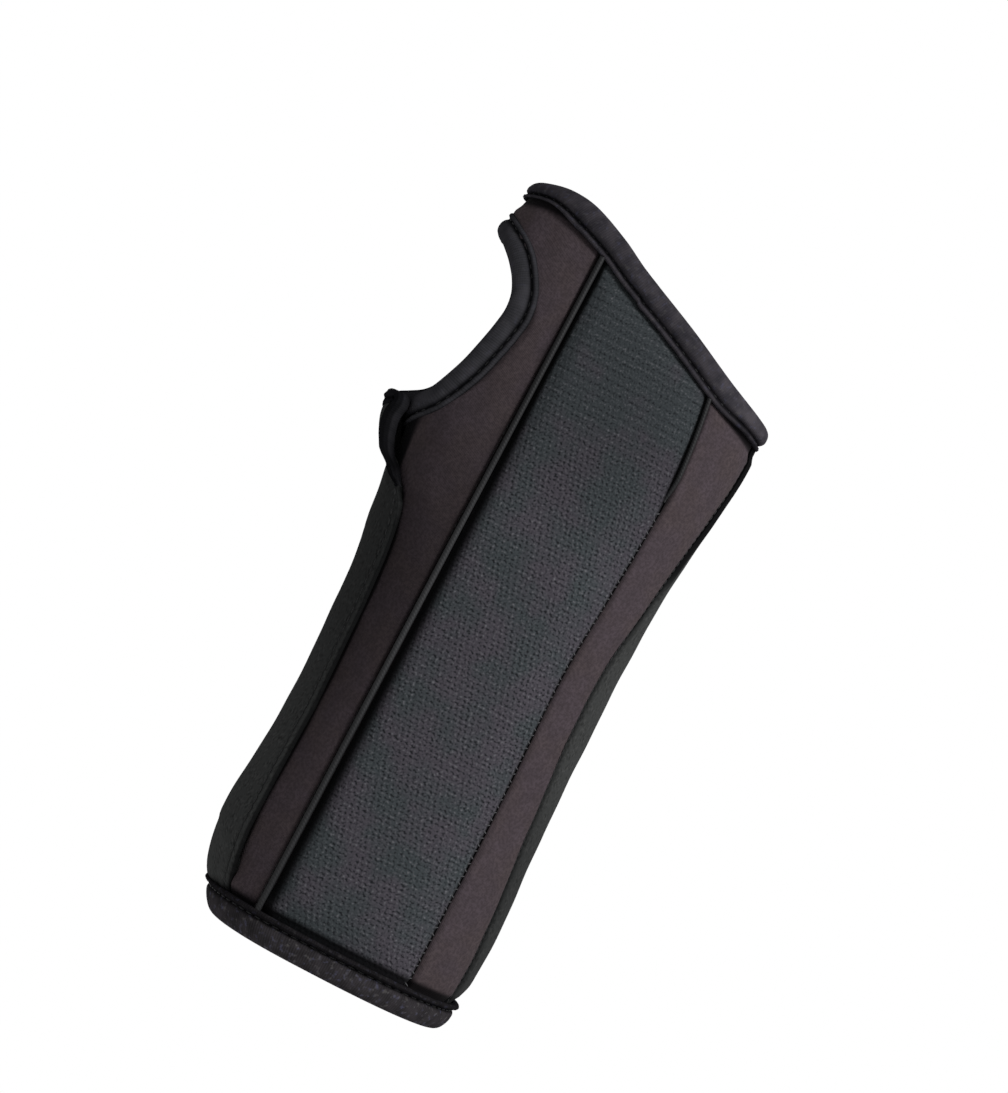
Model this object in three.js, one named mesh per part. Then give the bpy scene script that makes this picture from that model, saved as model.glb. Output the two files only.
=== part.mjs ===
// A left-hand wrist brace: an open sleeve of neoprene and knit panels, bound at both ends and round
// the thumb hole, with a back flap that laps over the thumb side and stands off at its top corner.
//
// Frame: the origin is the middle of the hollow at the wrist, +Z runs up the arm to the fingers,
// +X is the little-finger side and the palm faces -Y. Lengths are millimetres, angles are degrees
// round the sleeve: 0 is the middle of the palm side, 90 the little finger, -90 the thumb.

import * as THREE from 'three';
import { LoftGeometry } from 'three/addons/geometries/LoftGeometry.js';

// Driving dimensions of the sleeve

const forearmLength = 95.5; // from the wrist down to the forearm hem's edge
const handLength = 111; // from the wrist up to the highest point of the hand hem
const handHemDrop = 30; // how far the hand hem comes down on the little-finger side
const backHemDrop = 2.5; // how much lower the hand hem lies on the back than on the palm
const forearmWidth = 77.5;
const wristWidth = 74.5;
const palmWidth = 85;
const forearmDepth = 61;
const wristDepth = 52.4;
const palmDepth = 41;
const palmLean = 6.4; // how far the hand leans back from the arm's line
const roundness = 2.4; // 2 is an ellipse, more is boxier

// Walls, tapes and clearances

const panelWall = 2.8;
const flapWall = 2.0;
const tapeWall = 1.0;
const clearance = 0.3;
const tapeClearance = 0.4; // between a wall and the tape folded over its edge
const hemWidth = 6.5;
const holeTapeWidth = 6.8;
const flapTapeWidth = 4.6;
const beadWidth = 1.6;
const beadHeight = 1.4;

// Seams on the palm side

const pipingOffset = 15.2; // from the middle of the palm towards the thumb
const pipingWidth = 2.1;
const pipingHeight = 1.7;
const pipingFlange = 0.7;
const pipingDip = 1.0; // how far the palm panel sinks beside the piping
const pipingDipWidth = 3.2;
const palmPanelWidth = 42.6;
const edgeWeltWidth = 1.6;
const edgeWeltHeight = 0.9;
const edgeWeltLength = 29;

// Thumb hole

const holeFoot = 44; // the hole's lowest point above the wrist
const holeHeight = 49.2;
const holeReach = 45.5; // degrees that the hole reaches round to the palm
const backReach = 46.5; // degrees that it reaches round to the back
const webAngle = -104; // where the web over the thumb is sewn to the back flap
const hiddenReach = 0.24; // the hole's edge goes on under the raised corner by this share of its reach
const hiddenDrop = 0.065; // and sinks by this share of its height

// Closing flap and its raised corner

const underlap = 21; // degrees that the thumb-side panel runs on under the flap
const lapLift = 0.8; // how far the flap rises where it lies on the thumb-side panel
const lipFoot = 27; // where the flap's corner starts to stand off
const lipTop = 45.2;
const lipFlare = 6.2;
const lipAngle = -71.6; // the front edge of the corner
const lipFade = 17; // how far behind the thumb's line the corner lies down again

// The sleeve's sections, from the forearm up: height, reach to the thumb side, reach to the
// little-finger side, half depth, and how far the section's middle leans to the back.

function section(z, left, right, half, lean) {
  return { z, left, right, half, lean };
}

const sections = [
  section(-1.03 * forearmLength, 0.305 * forearmWidth, 0.48 * forearmWidth, 0.482 * forearmDepth, 0),
  section(-0.96 * forearmLength, 0.358 * forearmWidth, 0.508 * forearmWidth, 0.495 * forearmDepth, 0),
  section(-0.87 * forearmLength, 0.418 * forearmWidth, 0.53 * forearmWidth, 0.503 * forearmDepth, 0),
  section(-0.73 * forearmLength, 0.447 * forearmWidth, 0.538 * forearmWidth, 0.502 * forearmDepth, 0),
  section(-0.37 * forearmLength, 0.44 * forearmWidth, 0.511 * forearmWidth, 0.465 * forearmDepth, 0),
  section(0, 0.479 * wristWidth, 0.518 * wristWidth, 0.5 * wristDepth, 0.03 * palmLean),
  section(0.17 * handLength, 0.444 * palmWidth, 0.455 * palmWidth, 0.485 * wristDepth, 0.06 * palmLean),
  section(0.26 * handLength, 0.464 * palmWidth, 0.461 * palmWidth, 0.472 * wristDepth, 0.1 * palmLean),
  section(0.41 * handLength, 0.484 * palmWidth, 0.476 * palmWidth, 0.585 * palmDepth, 0.2 * palmLean),
  section(0.56 * handLength, 0.49 * palmWidth, 0.496 * palmWidth, 0.55 * palmDepth, 0.41 * palmLean),
  section(0.7 * handLength, 0.49 * palmWidth, 0.501 * palmWidth, 0.52 * palmDepth, 0.64 * palmLean),
  section(0.84 * handLength, 0.487 * palmWidth, 0.493 * palmWidth, 0.478 * palmDepth, 1.0 * palmLean),
  section(0.93 * handLength, 0.481 * palmWidth, 0.483 * palmWidth, 0.457 * palmDepth, 1.22 * palmLean),
  section(1.0 * handLength, 0.447 * palmWidth, 0.468 * palmWidth, 0.44 * palmDepth, 1.41 * palmLean),
];

// Closing edge on the palm side: height, and its reach as a share of the sleeve's own

const closingEdge = [
  { z: -1.0 * forearmLength, share: 0.78 },
  { z: -0.85 * forearmLength, share: 0.775 },
  { z: -0.5 * forearmLength, share: 0.785 },
  { z: 0, share: 0.79 },
  { z: 0.44 * lipFoot, share: 0.8 },
  { z: 0.74 * lipFoot, share: 0.85 },
  { z: 0.93 * lipFoot, share: 0.915 },
];

// Little-finger seam: height, and its reach as a share of the sleeve's own

const fingerSeam = [
  { z: -1.0 * forearmLength, share: 0.965 },
  { z: -0.7 * forearmLength, share: 0.94 },
  { z: -0.4 * forearmLength, share: 0.925 },
  { z: 0, share: 0.9 },
  { z: 0.25 * handLength, share: 0.94 },
  { z: 0.5 * handLength, share: 0.955 },
  { z: 0.8 * handLength, share: 0.96 },
];

// Palm panel's stitched edge: height, and its distance from the piping as a share of the width

const palmEdge = [
  { z: -1.0 * forearmLength, share: 1.0 },
  { z: -0.4 * forearmLength, share: 0.985 },
  { z: 0, share: 0.96 },
  { z: 0.2 * handLength, share: 0.99 },
  { z: 0.45 * handLength, share: 1.02 },
  { z: 0.6 * handLength, share: 1.0 },
  { z: 0.8 * handLength, share: 0.93 },
];

// Hand hem: across the sleeve from the thumb (-1) to the little finger (1), share of the drop

const hemLine = [
  { across: -1.0, drop: 0.055 },
  { across: -0.8, drop: 0.0 },
  { across: -0.6, drop: 0.033 },
  { across: -0.31, drop: 0.185 },
  { across: -0.1, drop: 0.335 },
  { across: 0.33, drop: 0.605 },
  { across: 0.7, drop: 0.85 },
  { across: 1.0, drop: 1.0 },
];

// Thumb hole, up its palm side from the foot and round under the web: share of the hole's height
// and share of its reach round to the palm. The last row is the seam with the flap.

const palmSideOfHole = [
  { rise: 0.0, reach: 0.0 },
  { rise: 0.05, reach: 0.29 },
  { rise: 0.122, reach: 0.57 },
  { rise: 0.286, reach: 0.8 },
  { rise: 0.449, reach: 0.92 },
  { rise: 0.571, reach: 0.98 },
  { rise: 0.653, reach: 1.0 },
  { rise: 0.735, reach: 0.97 },
  { rise: 0.816, reach: 0.87 },
  { rise: 0.898, reach: 0.7 },
  { rise: 0.962, reach: 0.4 },
  { rise: 1.0, reach: 0.0 },
];

// The hole's back edge, on the flap, from behind the raised corner up to the web

const backSideOfHole = [
  { rise: 0.045, reach: 0.26 },
  { rise: 0.1, reach: 0.45 },
  { rise: 0.19, reach: 0.62 },
  { rise: 0.31, reach: 0.8 },
  { rise: 0.449, reach: 0.93 },
  { rise: 0.571, reach: 0.985 },
  { rise: 0.653, reach: 1.0 },
  { rise: 0.735, reach: 0.97 },
  { rise: 0.83, reach: 0.86 },
  { rise: 0.92, reach: 0.66 },
  { rise: 0.975, reach: 0.42 },
];

// Raised corner: height as a share of its own, and share of the flare

const lipRise = [
  { up: 0.0, share: 0.0 },
  { up: 0.06, share: 0.2 },
  { up: 0.12, share: 0.42 },
  { up: 0.18, share: 0.56 },
  { up: 0.4, share: 0.84 },
  { up: 0.65, share: 1.0 },
  { up: 1.0, share: 0.93 },
];

// Smooth value of one column of a table, held at its ends

function reader(rows, key, column) {
  const slope = rows.map((row, i) => {
    const before = rows[Math.max(i - 1, 0)];
    const after = rows[Math.min(i + 1, rows.length - 1)];
    return (after[column] - before[column]) / (after[key] - before[key]);
  });
  return (at) => {
    if (at <= rows[0][key]) return rows[0][column];
    const last = rows.length - 1;
    if (at >= rows[last][key]) return rows[last][column];
    const i = rows.findIndex((row) => row[key] > at) - 1;
    const span = rows[i + 1][key] - rows[i][key];
    const t = (at - rows[i][key]) / span;
    const rise = rows[i + 1][column] - rows[i][column];
    const a = slope[i] * span - rise;
    const b = rise - slope[i + 1] * span;
    return rows[i][column] + rise * t + t * (1 - t) * (a * (1 - t) + b * t);
  };
}

const leftAt = reader(sections, 'z', 'left');
const rightAt = reader(sections, 'z', 'right');
const halfAt = reader(sections, 'z', 'half');
const leanAt = reader(sections, 'z', 'lean');
const closingShare = reader(closingEdge, 'z', 'share');
const fingerShare = reader(fingerSeam, 'z', 'share');
const palmEdgeShare = reader(palmEdge, 'z', 'share');
const hemDropAt = reader(hemLine, 'across', 'drop');
const lipRiseAt = reader(lipRise, 'up', 'share');

const degrees = Math.PI / 180;
const smooth = (low, high, value) => THREE.MathUtils.smoothstep(value, low, high);

function power(value, exponent) {
  return Math.sign(value) * Math.abs(value) ** exponent;
}

// Share across the section (-1 to 1) of an angle, and the palm-side angle of a share

function acrossOf(angle) {
  return power(Math.sin(angle * degrees), 2 / roundness);
}

function angleOf(across) {
  return Math.asin(power(THREE.MathUtils.clamp(across, -1, 1), roundness / 2)) / degrees;
}

// A point of the sleeve and its outward direction, level with the section

function surface(angle, z) {
  const across = acrossOf(angle);
  const deep = power(Math.cos(angle * degrees), 2 / roundness);
  const reach = across < 0 ? leftAt(z) : rightAt(z);
  const half = halfAt(z);
  const point = new THREE.Vector3(reach * across, leanAt(z) - half * deep, z);
  const outward = new THREE.Vector3(
    power(across, roundness - 1) / reach,
    -power(deep, roundness - 1) / half,
    0
  ).normalize();
  return { point, outward };
}

function raised(angle, z, lift) {
  const { point, outward } = surface(angle, z);
  return point.addScaledVector(outward, lift);
}

// Seam lines as angles at a height

const pipingAngle = (z) => angleOf(-pipingOffset / leftAt(z));
const closingAngle = (z) => -angleOf(closingShare(z));
const fingerAngle = (z) => angleOf(fingerShare(z));

function palmEdgeAngle(z) {
  return angleOf((palmEdgeShare(z) * palmPanelWidth - pipingOffset) / rightAt(z));
}

// The flap's free edge in front of the thumb's line: the closing edge, then the raised corner

function flapFrontAngle(z) {
  return THREE.MathUtils.lerp(closingAngle(z), lipAngle, smooth(0.7 * lipFoot, 1.1 * lipFoot, z));
}

// How far the thumb-side panel runs on under the flap: it starts above the forearm hem and widens
// below the thumb hole until it passes behind the thumb's line

const hiddenFootAngle = -90 - hiddenReach * holeReach;
const hiddenFootHeight = holeFoot - hiddenDrop * holeHeight;

function underlapAngle(z) {
  const tucked = underlap * smooth(-0.84 * forearmLength, -0.74 * forearmLength, z);
  const towardHole = smooth(0, 0.95 * hiddenFootHeight, z);
  return THREE.MathUtils.lerp(closingAngle(z) - tucked, hiddenFootAngle, towardHole);
}

// Both layers lie level again near the forearm hem, which binds them side by side

const aboveHem = (z) => smooth(-0.9 * forearmLength, -0.85 * forearmLength, z);

// How far each layer stands off the sleeve's surface

function flapLift(angle, z) {
  const turned = angle > 90 ? angle - 360 : angle;
  const lapEnd = underlapAngle(z);
  const belowHole = 1 - smooth(lipTop, lipTop + 8, z);
  const lapped = smooth(lapEnd - 14, lapEnd - 6, turned) * belowHole * aboveHem(z);
  const up = (z - lipFoot) / (lipTop - lipFoot);
  const behind = surface(turned, z).point.y - leanAt(z);
  const curl = behind < 0 ? 1 - 0.3 * smooth(0, 12, -behind) : 1 - smooth(0, lipFade, behind);
  const settled = 1 - smooth(lipTop, lipTop + 14, z);
  const flare = Math.abs(turned + 90) < 90 ? lipFlare * lipRiseAt(up) * curl * settled : 0;
  return lapLift * lapped + flare;
}

function thumbPanelLift(angle, z) {
  const sunk = flapWall + clearance - lapLift;
  const edge = flapFrontAngle(z);
  const under = smooth(-edge - 12, -edge - 5, -angle);
  const belowLip = 1 - smooth(lipFoot + 5, lipFoot + 12, z);
  return -sunk * under * belowLip * aboveHem(z);
}

function palmLift(angle, z) {
  const fromPiping = surface(angle, z).point.x + pipingOffset;
  const low = smooth(-forearmLength + hemWidth + beadWidth, -forearmLength + 2 * hemWidth, z);
  const hem = handHem(angle);
  const high = 1 - smooth(hem - 2.2 * hemWidth, hem - 1.3 * hemWidth, z);
  return -pipingDip * low * high * Math.exp(-((fromPiping / pipingDipWidth) ** 2));
}

const flatLift = () => 0;

// Hem heights at an angle

function handHem(angle) {
  const back = 0.5 - 0.5 * Math.cos(angle * degrees);
  return handLength - handHemDrop * hemDropAt(acrossOf(angle)) - backHemDrop * back;
}

const forearmHem = () => -forearmLength;

// Lines on the sleeve are lists of stations, each an angle and a height

const station = (angle, z) => ({ angle, z });

function curve(stations, count) {
  const knots = stations.map((s) => new THREE.Vector3(s.angle, s.z, s.partner ?? 0));
  const spline = new THREE.CatmullRomCurve3(knots, false, 'centripetal');
  return spline.getSpacedPoints(count).map((p) => ({ angle: p.x, z: p.y, partner: p.z }));
}

// Lines end to end, each starting where the one before it ends

function joined(...lines) {
  return lines.reduce((all, line) => all.concat(line.slice(1)));
}

// Which way the free edge lies at each station of a line: the change of angle and of height for
// each millimetre towards it. Seen from outside, it is on the right hand of the line.

function edgeways(line, loop) {
  const points = line.map((s) => raised(s.angle, s.z, 0));
  const last = points.length - 1;
  return line.map((s, i) => {
    const before = loop && i === 0 ? points[last - 1] : points[Math.max(i - 1, 0)];
    const after = loop && i === last ? points[1] : points[Math.min(i + 1, last)];
    const along = new THREE.Vector3().subVectors(after, before).normalize();
    const free = new THREE.Vector3().crossVectors(surface(s.angle, s.z).outward, along).normalize();
    const sideways = raised(s.angle + 0.5, s.z, 0).sub(raised(s.angle - 0.5, s.z, 0));
    const perDegree = sideways.length();
    return { angle: free.dot(sideways.normalize()) / perDegree, z: free.z };
  });
}

// The same line moved back from its free edge

function inset(line, distance, loop) {
  return edgeways(line, loop).map((way, i) => ({
    ...line[i],
    angle: line[i].angle - distance * way.angle,
    z: line[i].z - distance * way.z,
  }));
}

// A band that follows the surface along a line. Its profile's first number runs to the free edge,
// the second outward.

function sweep(line, profile, lift, loop = false) {
  const rings = edgeways(line, loop).map((way, i) =>
    profile.map(([toFree, out]) => {
      const angle = line[i].angle + toFree * way.angle;
      const z = line[i].z + toFree * way.z;
      return raised(angle, z, lift(angle, z) + out);
    })
  );
  return new LoftGeometry(rings, { capStart: !loop, capEnd: !loop });
}

// A folded tape that straddles an edge of a wall, drawn round its open channel

function tapeProfile(width, wall) {
  const top = tapeClearance;
  const floor = -wall - tapeClearance;
  return [
    [-tapeWall, top],
    [-tapeWall, floor],
    [-width, floor],
    [-width + 0.35 * tapeWall, floor - tapeWall],
    [-tapeWall, floor - tapeWall],
    [-0.1 * tapeWall, floor + 0.1 * wall],
    [-0.1 * tapeWall, top - 0.1 * wall],
    [-tapeWall, top + tapeWall],
    [-0.55 * width, top + tapeWall],
    [-width + 0.35 * tapeWall, top + 0.9 * tapeWall],
    [-width, top],
    [-0.55 * width, top],
  ];
}

// The same tape with a stitched bead standing along its upper edge

function beadedProfile(width, wall) {
  const tape = tapeProfile(width, wall);
  const channelSide = tape.pop();
  const foot = tapeClearance;
  const bead = [
    [-width + 0.3 * beadWidth, foot + 0.6 * tapeWall],
    [-width, foot + beadHeight],
    [-width - 0.6 * beadWidth, foot + beadHeight],
    [-width - beadWidth, foot + 0.4 * beadHeight],
    [-width - beadWidth, foot],
  ];
  return [...tape.slice(0, -2), ...bead, channelSide];
}

// A welt that stands on a seam, with or without a flange let into it

function weltProfile(width, height, flange) {
  const half = width / 2;
  const foot = clearance;
  const head = [
    [half, foot],
    [half, foot + 0.55 * height],
    [0.6 * half, foot + 0.9 * height],
    [0, foot + height],
    [-0.6 * half, foot + 0.9 * height],
    [-half, foot + 0.55 * height],
    [-half, foot],
  ];
  const stem = [
    [-flange / 2, foot],
    [-flange / 2, -0.85 * panelWall],
    [flange / 2, -0.85 * panelWall],
    [flange / 2, foot],
  ];
  return flange > 0 ? head.concat(stem) : head;
}

// A panel between two side lines that have the same number of stations and two end lines

function panel(lower, higher, bottom, top, columns, wall, lift) {
  const rows = lower.length - 1;
  const corners = [lower[0], higher[0], lower[rows], higher[rows]];
  const rings = lower.map((low, row) => {
    const v = row / rows;
    const high = higher[row];
    const outer = [];
    const inner = [];
    for (let column = 0; column <= columns; column += 1) {
      const s = column / columns;
      const mix = (key) => {
        const across = (1 - s) * low[key] + s * high[key];
        const up = (1 - v) * bottom(s)[key] + v * top(s)[key];
        const lowCorner = (1 - s) * corners[0][key] + s * corners[1][key];
        const topCorner = (1 - s) * corners[2][key] + s * corners[3][key];
        return across + up - (1 - v) * lowCorner - v * topCorner;
      };
      const angle = mix('angle');
      const z = mix('z');
      const height = lift(angle, z);
      outer.push(raised(angle, z, height));
      inner.unshift(raised(angle, z, height - wall));
    }
    return outer.concat(inner);
  });
  return new LoftGeometry(rings, { capStart: true, capEnd: true });
}

// Reads a line by the share of its stations

function reading(line) {
  return (s) => {
    const at = s * (line.length - 1);
    const i = Math.min(Math.floor(at), line.length - 2);
    const t = at - i;
    return {
      angle: THREE.MathUtils.lerp(line[i].angle, line[i + 1].angle, t),
      z: THREE.MathUtils.lerp(line[i].z, line[i + 1].z, t),
    };
  };
}

// Hem lines round the sleeve. The hand hem runs round by rising angle, the forearm hem the other
// way, so that each has its free edge on the same hand.

const hemStations = 52;
const handHemLine = [];
const forearmHemLine = [];
for (let i = 0; i <= hemStations; i += 1) {
  const angle = -180 + (360 * i) / hemStations;
  handHemLine.push(station(angle, handHem(angle)));
  forearmHemLine.push(station(-angle, forearmHem(-angle)));
}

const edgeInset = tapeWall + tapeClearance;
const hemInset = edgeInset + clearance; // the walls stop a little short of the hems' folds
const handSeat = inset(handHemLine, hemInset, true);
const forearmSeat = inset(forearmHemLine, hemInset, true);

// Height of a wall's end at an angle, under the tape

function seatHeight(seat, angle) {
  const turned = THREE.MathUtils.euclideanModulo(angle + 180, 360) - 180;
  const ordered = seat[0].angle < seat[1].angle ? seat : [...seat].reverse();
  const i = Math.max(ordered.findIndex((s) => s.angle > turned), 1);
  const low = ordered[i - 1];
  const high = ordered[i];
  return THREE.MathUtils.mapLinear(turned, low.angle, high.angle, low.z, high.z);
}

function endLine(seat, from, to) {
  return (s) => {
    const angle = THREE.MathUtils.lerp(from, to, s);
    return station(angle, seatHeight(seat, angle));
  };
}

// A seam as a side line, moved sideways by a distance along the surface

function seamLine(angleAt, sideways, heights) {
  return heights.map((z) => {
    const angle = angleAt(z);
    const perDegree = raised(angle + 0.5, z, 0).distanceTo(raised(angle - 0.5, z, 0));
    return station(angle + sideways / perDegree, z);
  });
}

function heightsBetween(low, high, count) {
  return Array.from({ length: count + 1 }, (_, i) => low + ((high - low) * i) / count);
}

// Heights from the forearm hem up, closer together at first, where the sleeve tucks in

const tuckTop = -0.84 * forearmLength;
const tuckRows = 3;

function heightsFromHem(low, high, count) {
  const tuck = heightsBetween(low, tuckTop, tuckRows);
  return tuck.concat(heightsBetween(tuckTop, high, count - tuckRows).slice(1));
}

// Heights of a seam's two ends under the tapes

function seamEnds(angleAt) {
  let top = handLength;
  for (let step = 0; step < 6; step += 1) {
    top = seatHeight(handSeat, angleAt(top));
  }
  return [seatHeight(forearmSeat, angleAt(-forearmLength)), top];
}

const group = new THREE.Group();

function add(name, geometry, color, roughness) {
  const mesh = new THREE.Mesh(geometry, new THREE.MeshStandardMaterial({ color, roughness, metalness: 0 }));
  mesh.name = name;
  group.add(mesh);
}

const colours = { neoprene: 0x3a3438, knit: 0x3b3a3f, brushed: 0x2b2c2e, tape: 0x37363a, bead: 0x2a2628 };

// Panels on the palm side

const seamGap = clearance / 2;
const pipingGap = pipingFlange / 2 + clearance;
const straightRows = 16;

function sidePanel(lowAngle, lowGap, highAngle, highGap, columns, lift) {
  const [lowBottom, lowTop] = seamEnds(lowAngle);
  const [highBottom, highTop] = seamEnds(highAngle);
  const lowHeights = heightsFromHem(lowBottom, lowTop, straightRows);
  const highHeights = heightsFromHem(highBottom, highTop, straightRows);
  const lower = seamLine(lowAngle, lowGap, lowHeights);
  const higher = seamLine(highAngle, -highGap, highHeights);
  const bottom = endLine(forearmSeat, lower[0].angle, higher[0].angle);
  const top = endLine(handSeat, lower[straightRows].angle, higher[straightRows].angle);
  return panel(lower, higher, bottom, top, columns, panelWall, lift);
}

add(
  'palm_panel',
  sidePanel(pipingAngle, pipingGap, palmEdgeAngle, seamGap, 9, palmLift),
  colours.knit,
  0.9
);
add(
  'little_finger_side_panel',
  sidePanel(palmEdgeAngle, seamGap, fingerAngle, seamGap, 5, flatLift),
  colours.neoprene,
  0.8
);

// Edge of the thumb hole on the palm side: from behind the raised corner, where it is hidden, up
// the palm side, over the thumb and round to the seam with the flap

const webSeamHeight = holeFoot + 0.985 * holeHeight;
const hiddenFoot = [
  station(hiddenFootAngle, hiddenFootHeight),
  station((hiddenFootAngle - 90) / 2, (hiddenFootHeight + holeFoot) / 2),
];
const palmHole = palmSideOfHole.map((row) =>
  station(-90 + row.reach * holeReach, holeFoot + row.rise * holeHeight)
);
const thumbHoleLine = curve([...hiddenFoot, ...palmHole, station(webAngle, webSeamHeight)], 24);
const thumbHoleSeat = inset(thumbHoleLine, edgeInset, false);

add(
  'thumb_hole_binding',
  sweep(thumbHoleLine, tapeProfile(holeTapeWidth, panelWall), thumbPanelLift),
  colours.tape,
  0.75
);

// Thumb-side panel. Its far side runs under the flap, up the hole and up the web's seam, and each
// station there has a partner height up the piping.

const [pipingBottom, pipingTop] = seamEnds(pipingAngle);
const holeStart = thumbHoleSeat[0];
const webStart = thumbHoleSeat[thumbHoleSeat.length - 1];
const partnerStart = 0.8 * holeStart.z;
const partnerEnd = 0.935 * pipingTop;
const underBottom = seatHeight(forearmSeat, closingAngle(-forearmLength));
const webTop = seatHeight(handSeat, webStart.angle);
const partner = THREE.MathUtils.mapLinear;

const underLine = heightsFromHem(underBottom, holeStart.z, 12).map((z) => {
  const toSeat = smooth(0.8 * holeStart.z, holeStart.z, z);
  const angle = THREE.MathUtils.lerp(underlapAngle(z), holeStart.angle, toSeat);
  return { angle, z, partner: partner(z, underBottom, holeStart.z, pipingBottom, partnerStart) };
});
const holeLine = thumbHoleSeat.map((s, i) => ({
  ...s,
  partner: partner(i, 0, thumbHoleSeat.length - 1, partnerStart, partnerEnd),
}));
const webLine = heightsBetween(webStart.z, webTop, 2).map((z) => ({
  angle: webStart.angle,
  z,
  partner: partner(z, webStart.z, webTop, partnerEnd, pipingTop),
}));
const thumbLower = joined(underLine, holeLine, webLine);
const thumbHigher = seamLine(pipingAngle, -pipingGap, thumbLower.map((s) => s.partner));
const thumbTop = thumbHigher[thumbHigher.length - 1];

add(
  'thumb_side_panel',
  panel(
    thumbLower,
    thumbHigher,
    endLine(forearmSeat, thumbLower[0].angle, thumbHigher[0].angle),
    endLine(handSeat, webStart.angle, thumbTop.angle),
    12,
    panelWall,
    thumbPanelLift
  ),
  colours.neoprene,
  0.8
);

// The flap's bound edge: up the front of the raised corner, over it, up the back of the hole and
// round to the web's seam. Seen from outside, its free edge is on the left, so it runs downwards.

const fullTurn = 360;
const lipHeight = lipTop - lipFoot;
const flapEdgeFoot = lipFoot + 0.11 * lipHeight;
const backHole = backSideOfHole.map((row) =>
  station(fullTurn - 90 - row.reach * backReach, holeFoot + row.rise * holeHeight)
);
const lipFront = fullTurn + lipAngle;
const flapEdgeUp = [
  station(lipFront, flapEdgeFoot),
  station(lipFront, lipFoot + 0.4 * lipHeight),
  station(lipFront - 0.5, lipFoot + 0.62 * lipHeight),
  station(lipFront - 3, lipFoot + 0.84 * lipHeight),
  station(lipFront - 8.5, lipFoot + 0.97 * lipHeight),
  station(lipFront - 15, lipFoot + 0.98 * lipHeight),
  station(fullTurn - 90 - 4, lipFoot + 0.97 * lipHeight),
  ...backHole,
  station(fullTurn + webAngle - 0.4, webSeamHeight),
];
const flapEdgeLine = curve(flapEdgeUp, 24);
const flapBindingLine = [...flapEdgeLine].reverse();
const flapSeat = inset(flapBindingLine, edgeInset, false).reverse();

add(
  'flap_edge_binding',
  sweep(flapBindingLine, tapeProfile(flapTapeWidth, flapWall), flapLift),
  colours.tape,
  0.75
);

// Back flap, from the little-finger seam round the back to its free edge and the web's seam

const flapFrontSeat = flapSeat[0];
const flapWebSeat = flapSeat[flapSeat.length - 1];
const [fingerBottom, fingerTop] = seamEnds(fingerAngle);
const flapWebTop = seatHeight(handSeat, flapWebSeat.angle);
const fingerStart = 0.65 * flapFrontSeat.z;
const fingerEnd = 0.93 * fingerTop;
const buttAngle = 0.6;
const flapBottom = seatHeight(forearmSeat, closingAngle(-forearmLength));

const closingLine = heightsFromHem(flapBottom, flapFrontSeat.z, 12).map((z) => {
  const free = flapFrontAngle(z) - (1 - aboveHem(z)) * buttAngle;
  const toSeat = smooth(0.9 * lipFoot, flapFrontSeat.z, z);
  const angle = fullTurn + THREE.MathUtils.lerp(free, flapFrontSeat.angle - fullTurn, toSeat);
  return { angle, z, partner: partner(z, flapBottom, flapFrontSeat.z, fingerBottom, fingerStart) };
});
const flapHoleLine = flapSeat.map((s, i) => ({
  ...s,
  partner: partner(i, 0, flapSeat.length - 1, fingerStart, fingerEnd),
}));
const flapWebLine = heightsBetween(flapWebSeat.z, flapWebTop, 1).map((z) => ({
  angle: flapWebSeat.angle,
  z,
  partner: partner(z, flapWebSeat.z, flapWebTop, fingerEnd, fingerTop),
}));
const flapHigher = joined(closingLine, flapHoleLine, flapWebLine);
const flapLower = seamLine(fingerAngle, seamGap, flapHigher.map((s) => s.partner));
const flapTop = flapLower[flapLower.length - 1];

add(
  'back_flap',
  panel(
    flapLower,
    flapHigher,
    endLine(forearmSeat, flapLower[0].angle, flapHigher[0].angle),
    endLine(handSeat, flapTop.angle, flapWebSeat.angle),
    28,
    flapWall,
    flapLift
  ),
  colours.brushed,
  0.95
);

// Hems

add(
  'hand_hem_binding',
  sweep(handHemLine, tapeProfile(hemWidth, panelWall), flatLift, true),
  colours.tape,
  0.75
);
add(
  'forearm_hem_binding',
  sweep(forearmHemLine, beadedProfile(hemWidth, panelWall), flatLift, true),
  colours.tape,
  0.75
);

// Welts

const handBandFoot = inset(handHemLine, hemWidth + 2 * clearance, true);

function hemFootHeight(angleAt) {
  let height = handLength;
  for (let step = 0; step < 6; step += 1) {
    height = seatHeight(handBandFoot, angleAt(height));
  }
  return height;
}

const forearmBandTop = -forearmLength + hemWidth + beadWidth + 2 * clearance;

function welt(name, angleAt, low, high, count, profile) {
  const line = heightsBetween(low, high, count).map((z) => station(angleAt(z), z));
  add(name, sweep(line, profile, flatLift), colours.bead, 0.7);
}

welt(
  'panel_piping',
  pipingAngle,
  forearmBandTop,
  hemFootHeight(pipingAngle),
  16,
  weltProfile(pipingWidth, pipingHeight, pipingFlange)
);

const edgeWeltTop = hemFootHeight(palmEdgeAngle);
welt(
  'panel_edge_welt',
  palmEdgeAngle,
  edgeWeltTop - edgeWeltLength,
  edgeWeltTop,
  6,
  weltProfile(edgeWeltWidth, edgeWeltHeight, 0)
);

export default group;
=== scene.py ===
# %% [markdown]
# # A wrist brace, dressed for the camera
# A wrist brace is a short sleeve sewn from flat panels of padded cloth. On this one a long knitted
# panel runs down the palm side, smooth rubber-backed cloth lies on both sides of it, and a brushed
# flap wraps the back and closes on the thumb side. Folded tape binds every free edge.
#
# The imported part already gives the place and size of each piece. This file puts fine cloth, seams,
# stitches and finishes on them, one piece at a time, and ends with the light and the camera.

# %% Load the part
import math

import bpy
import numpy as np
from mathutils import Matrix, Vector


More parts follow.
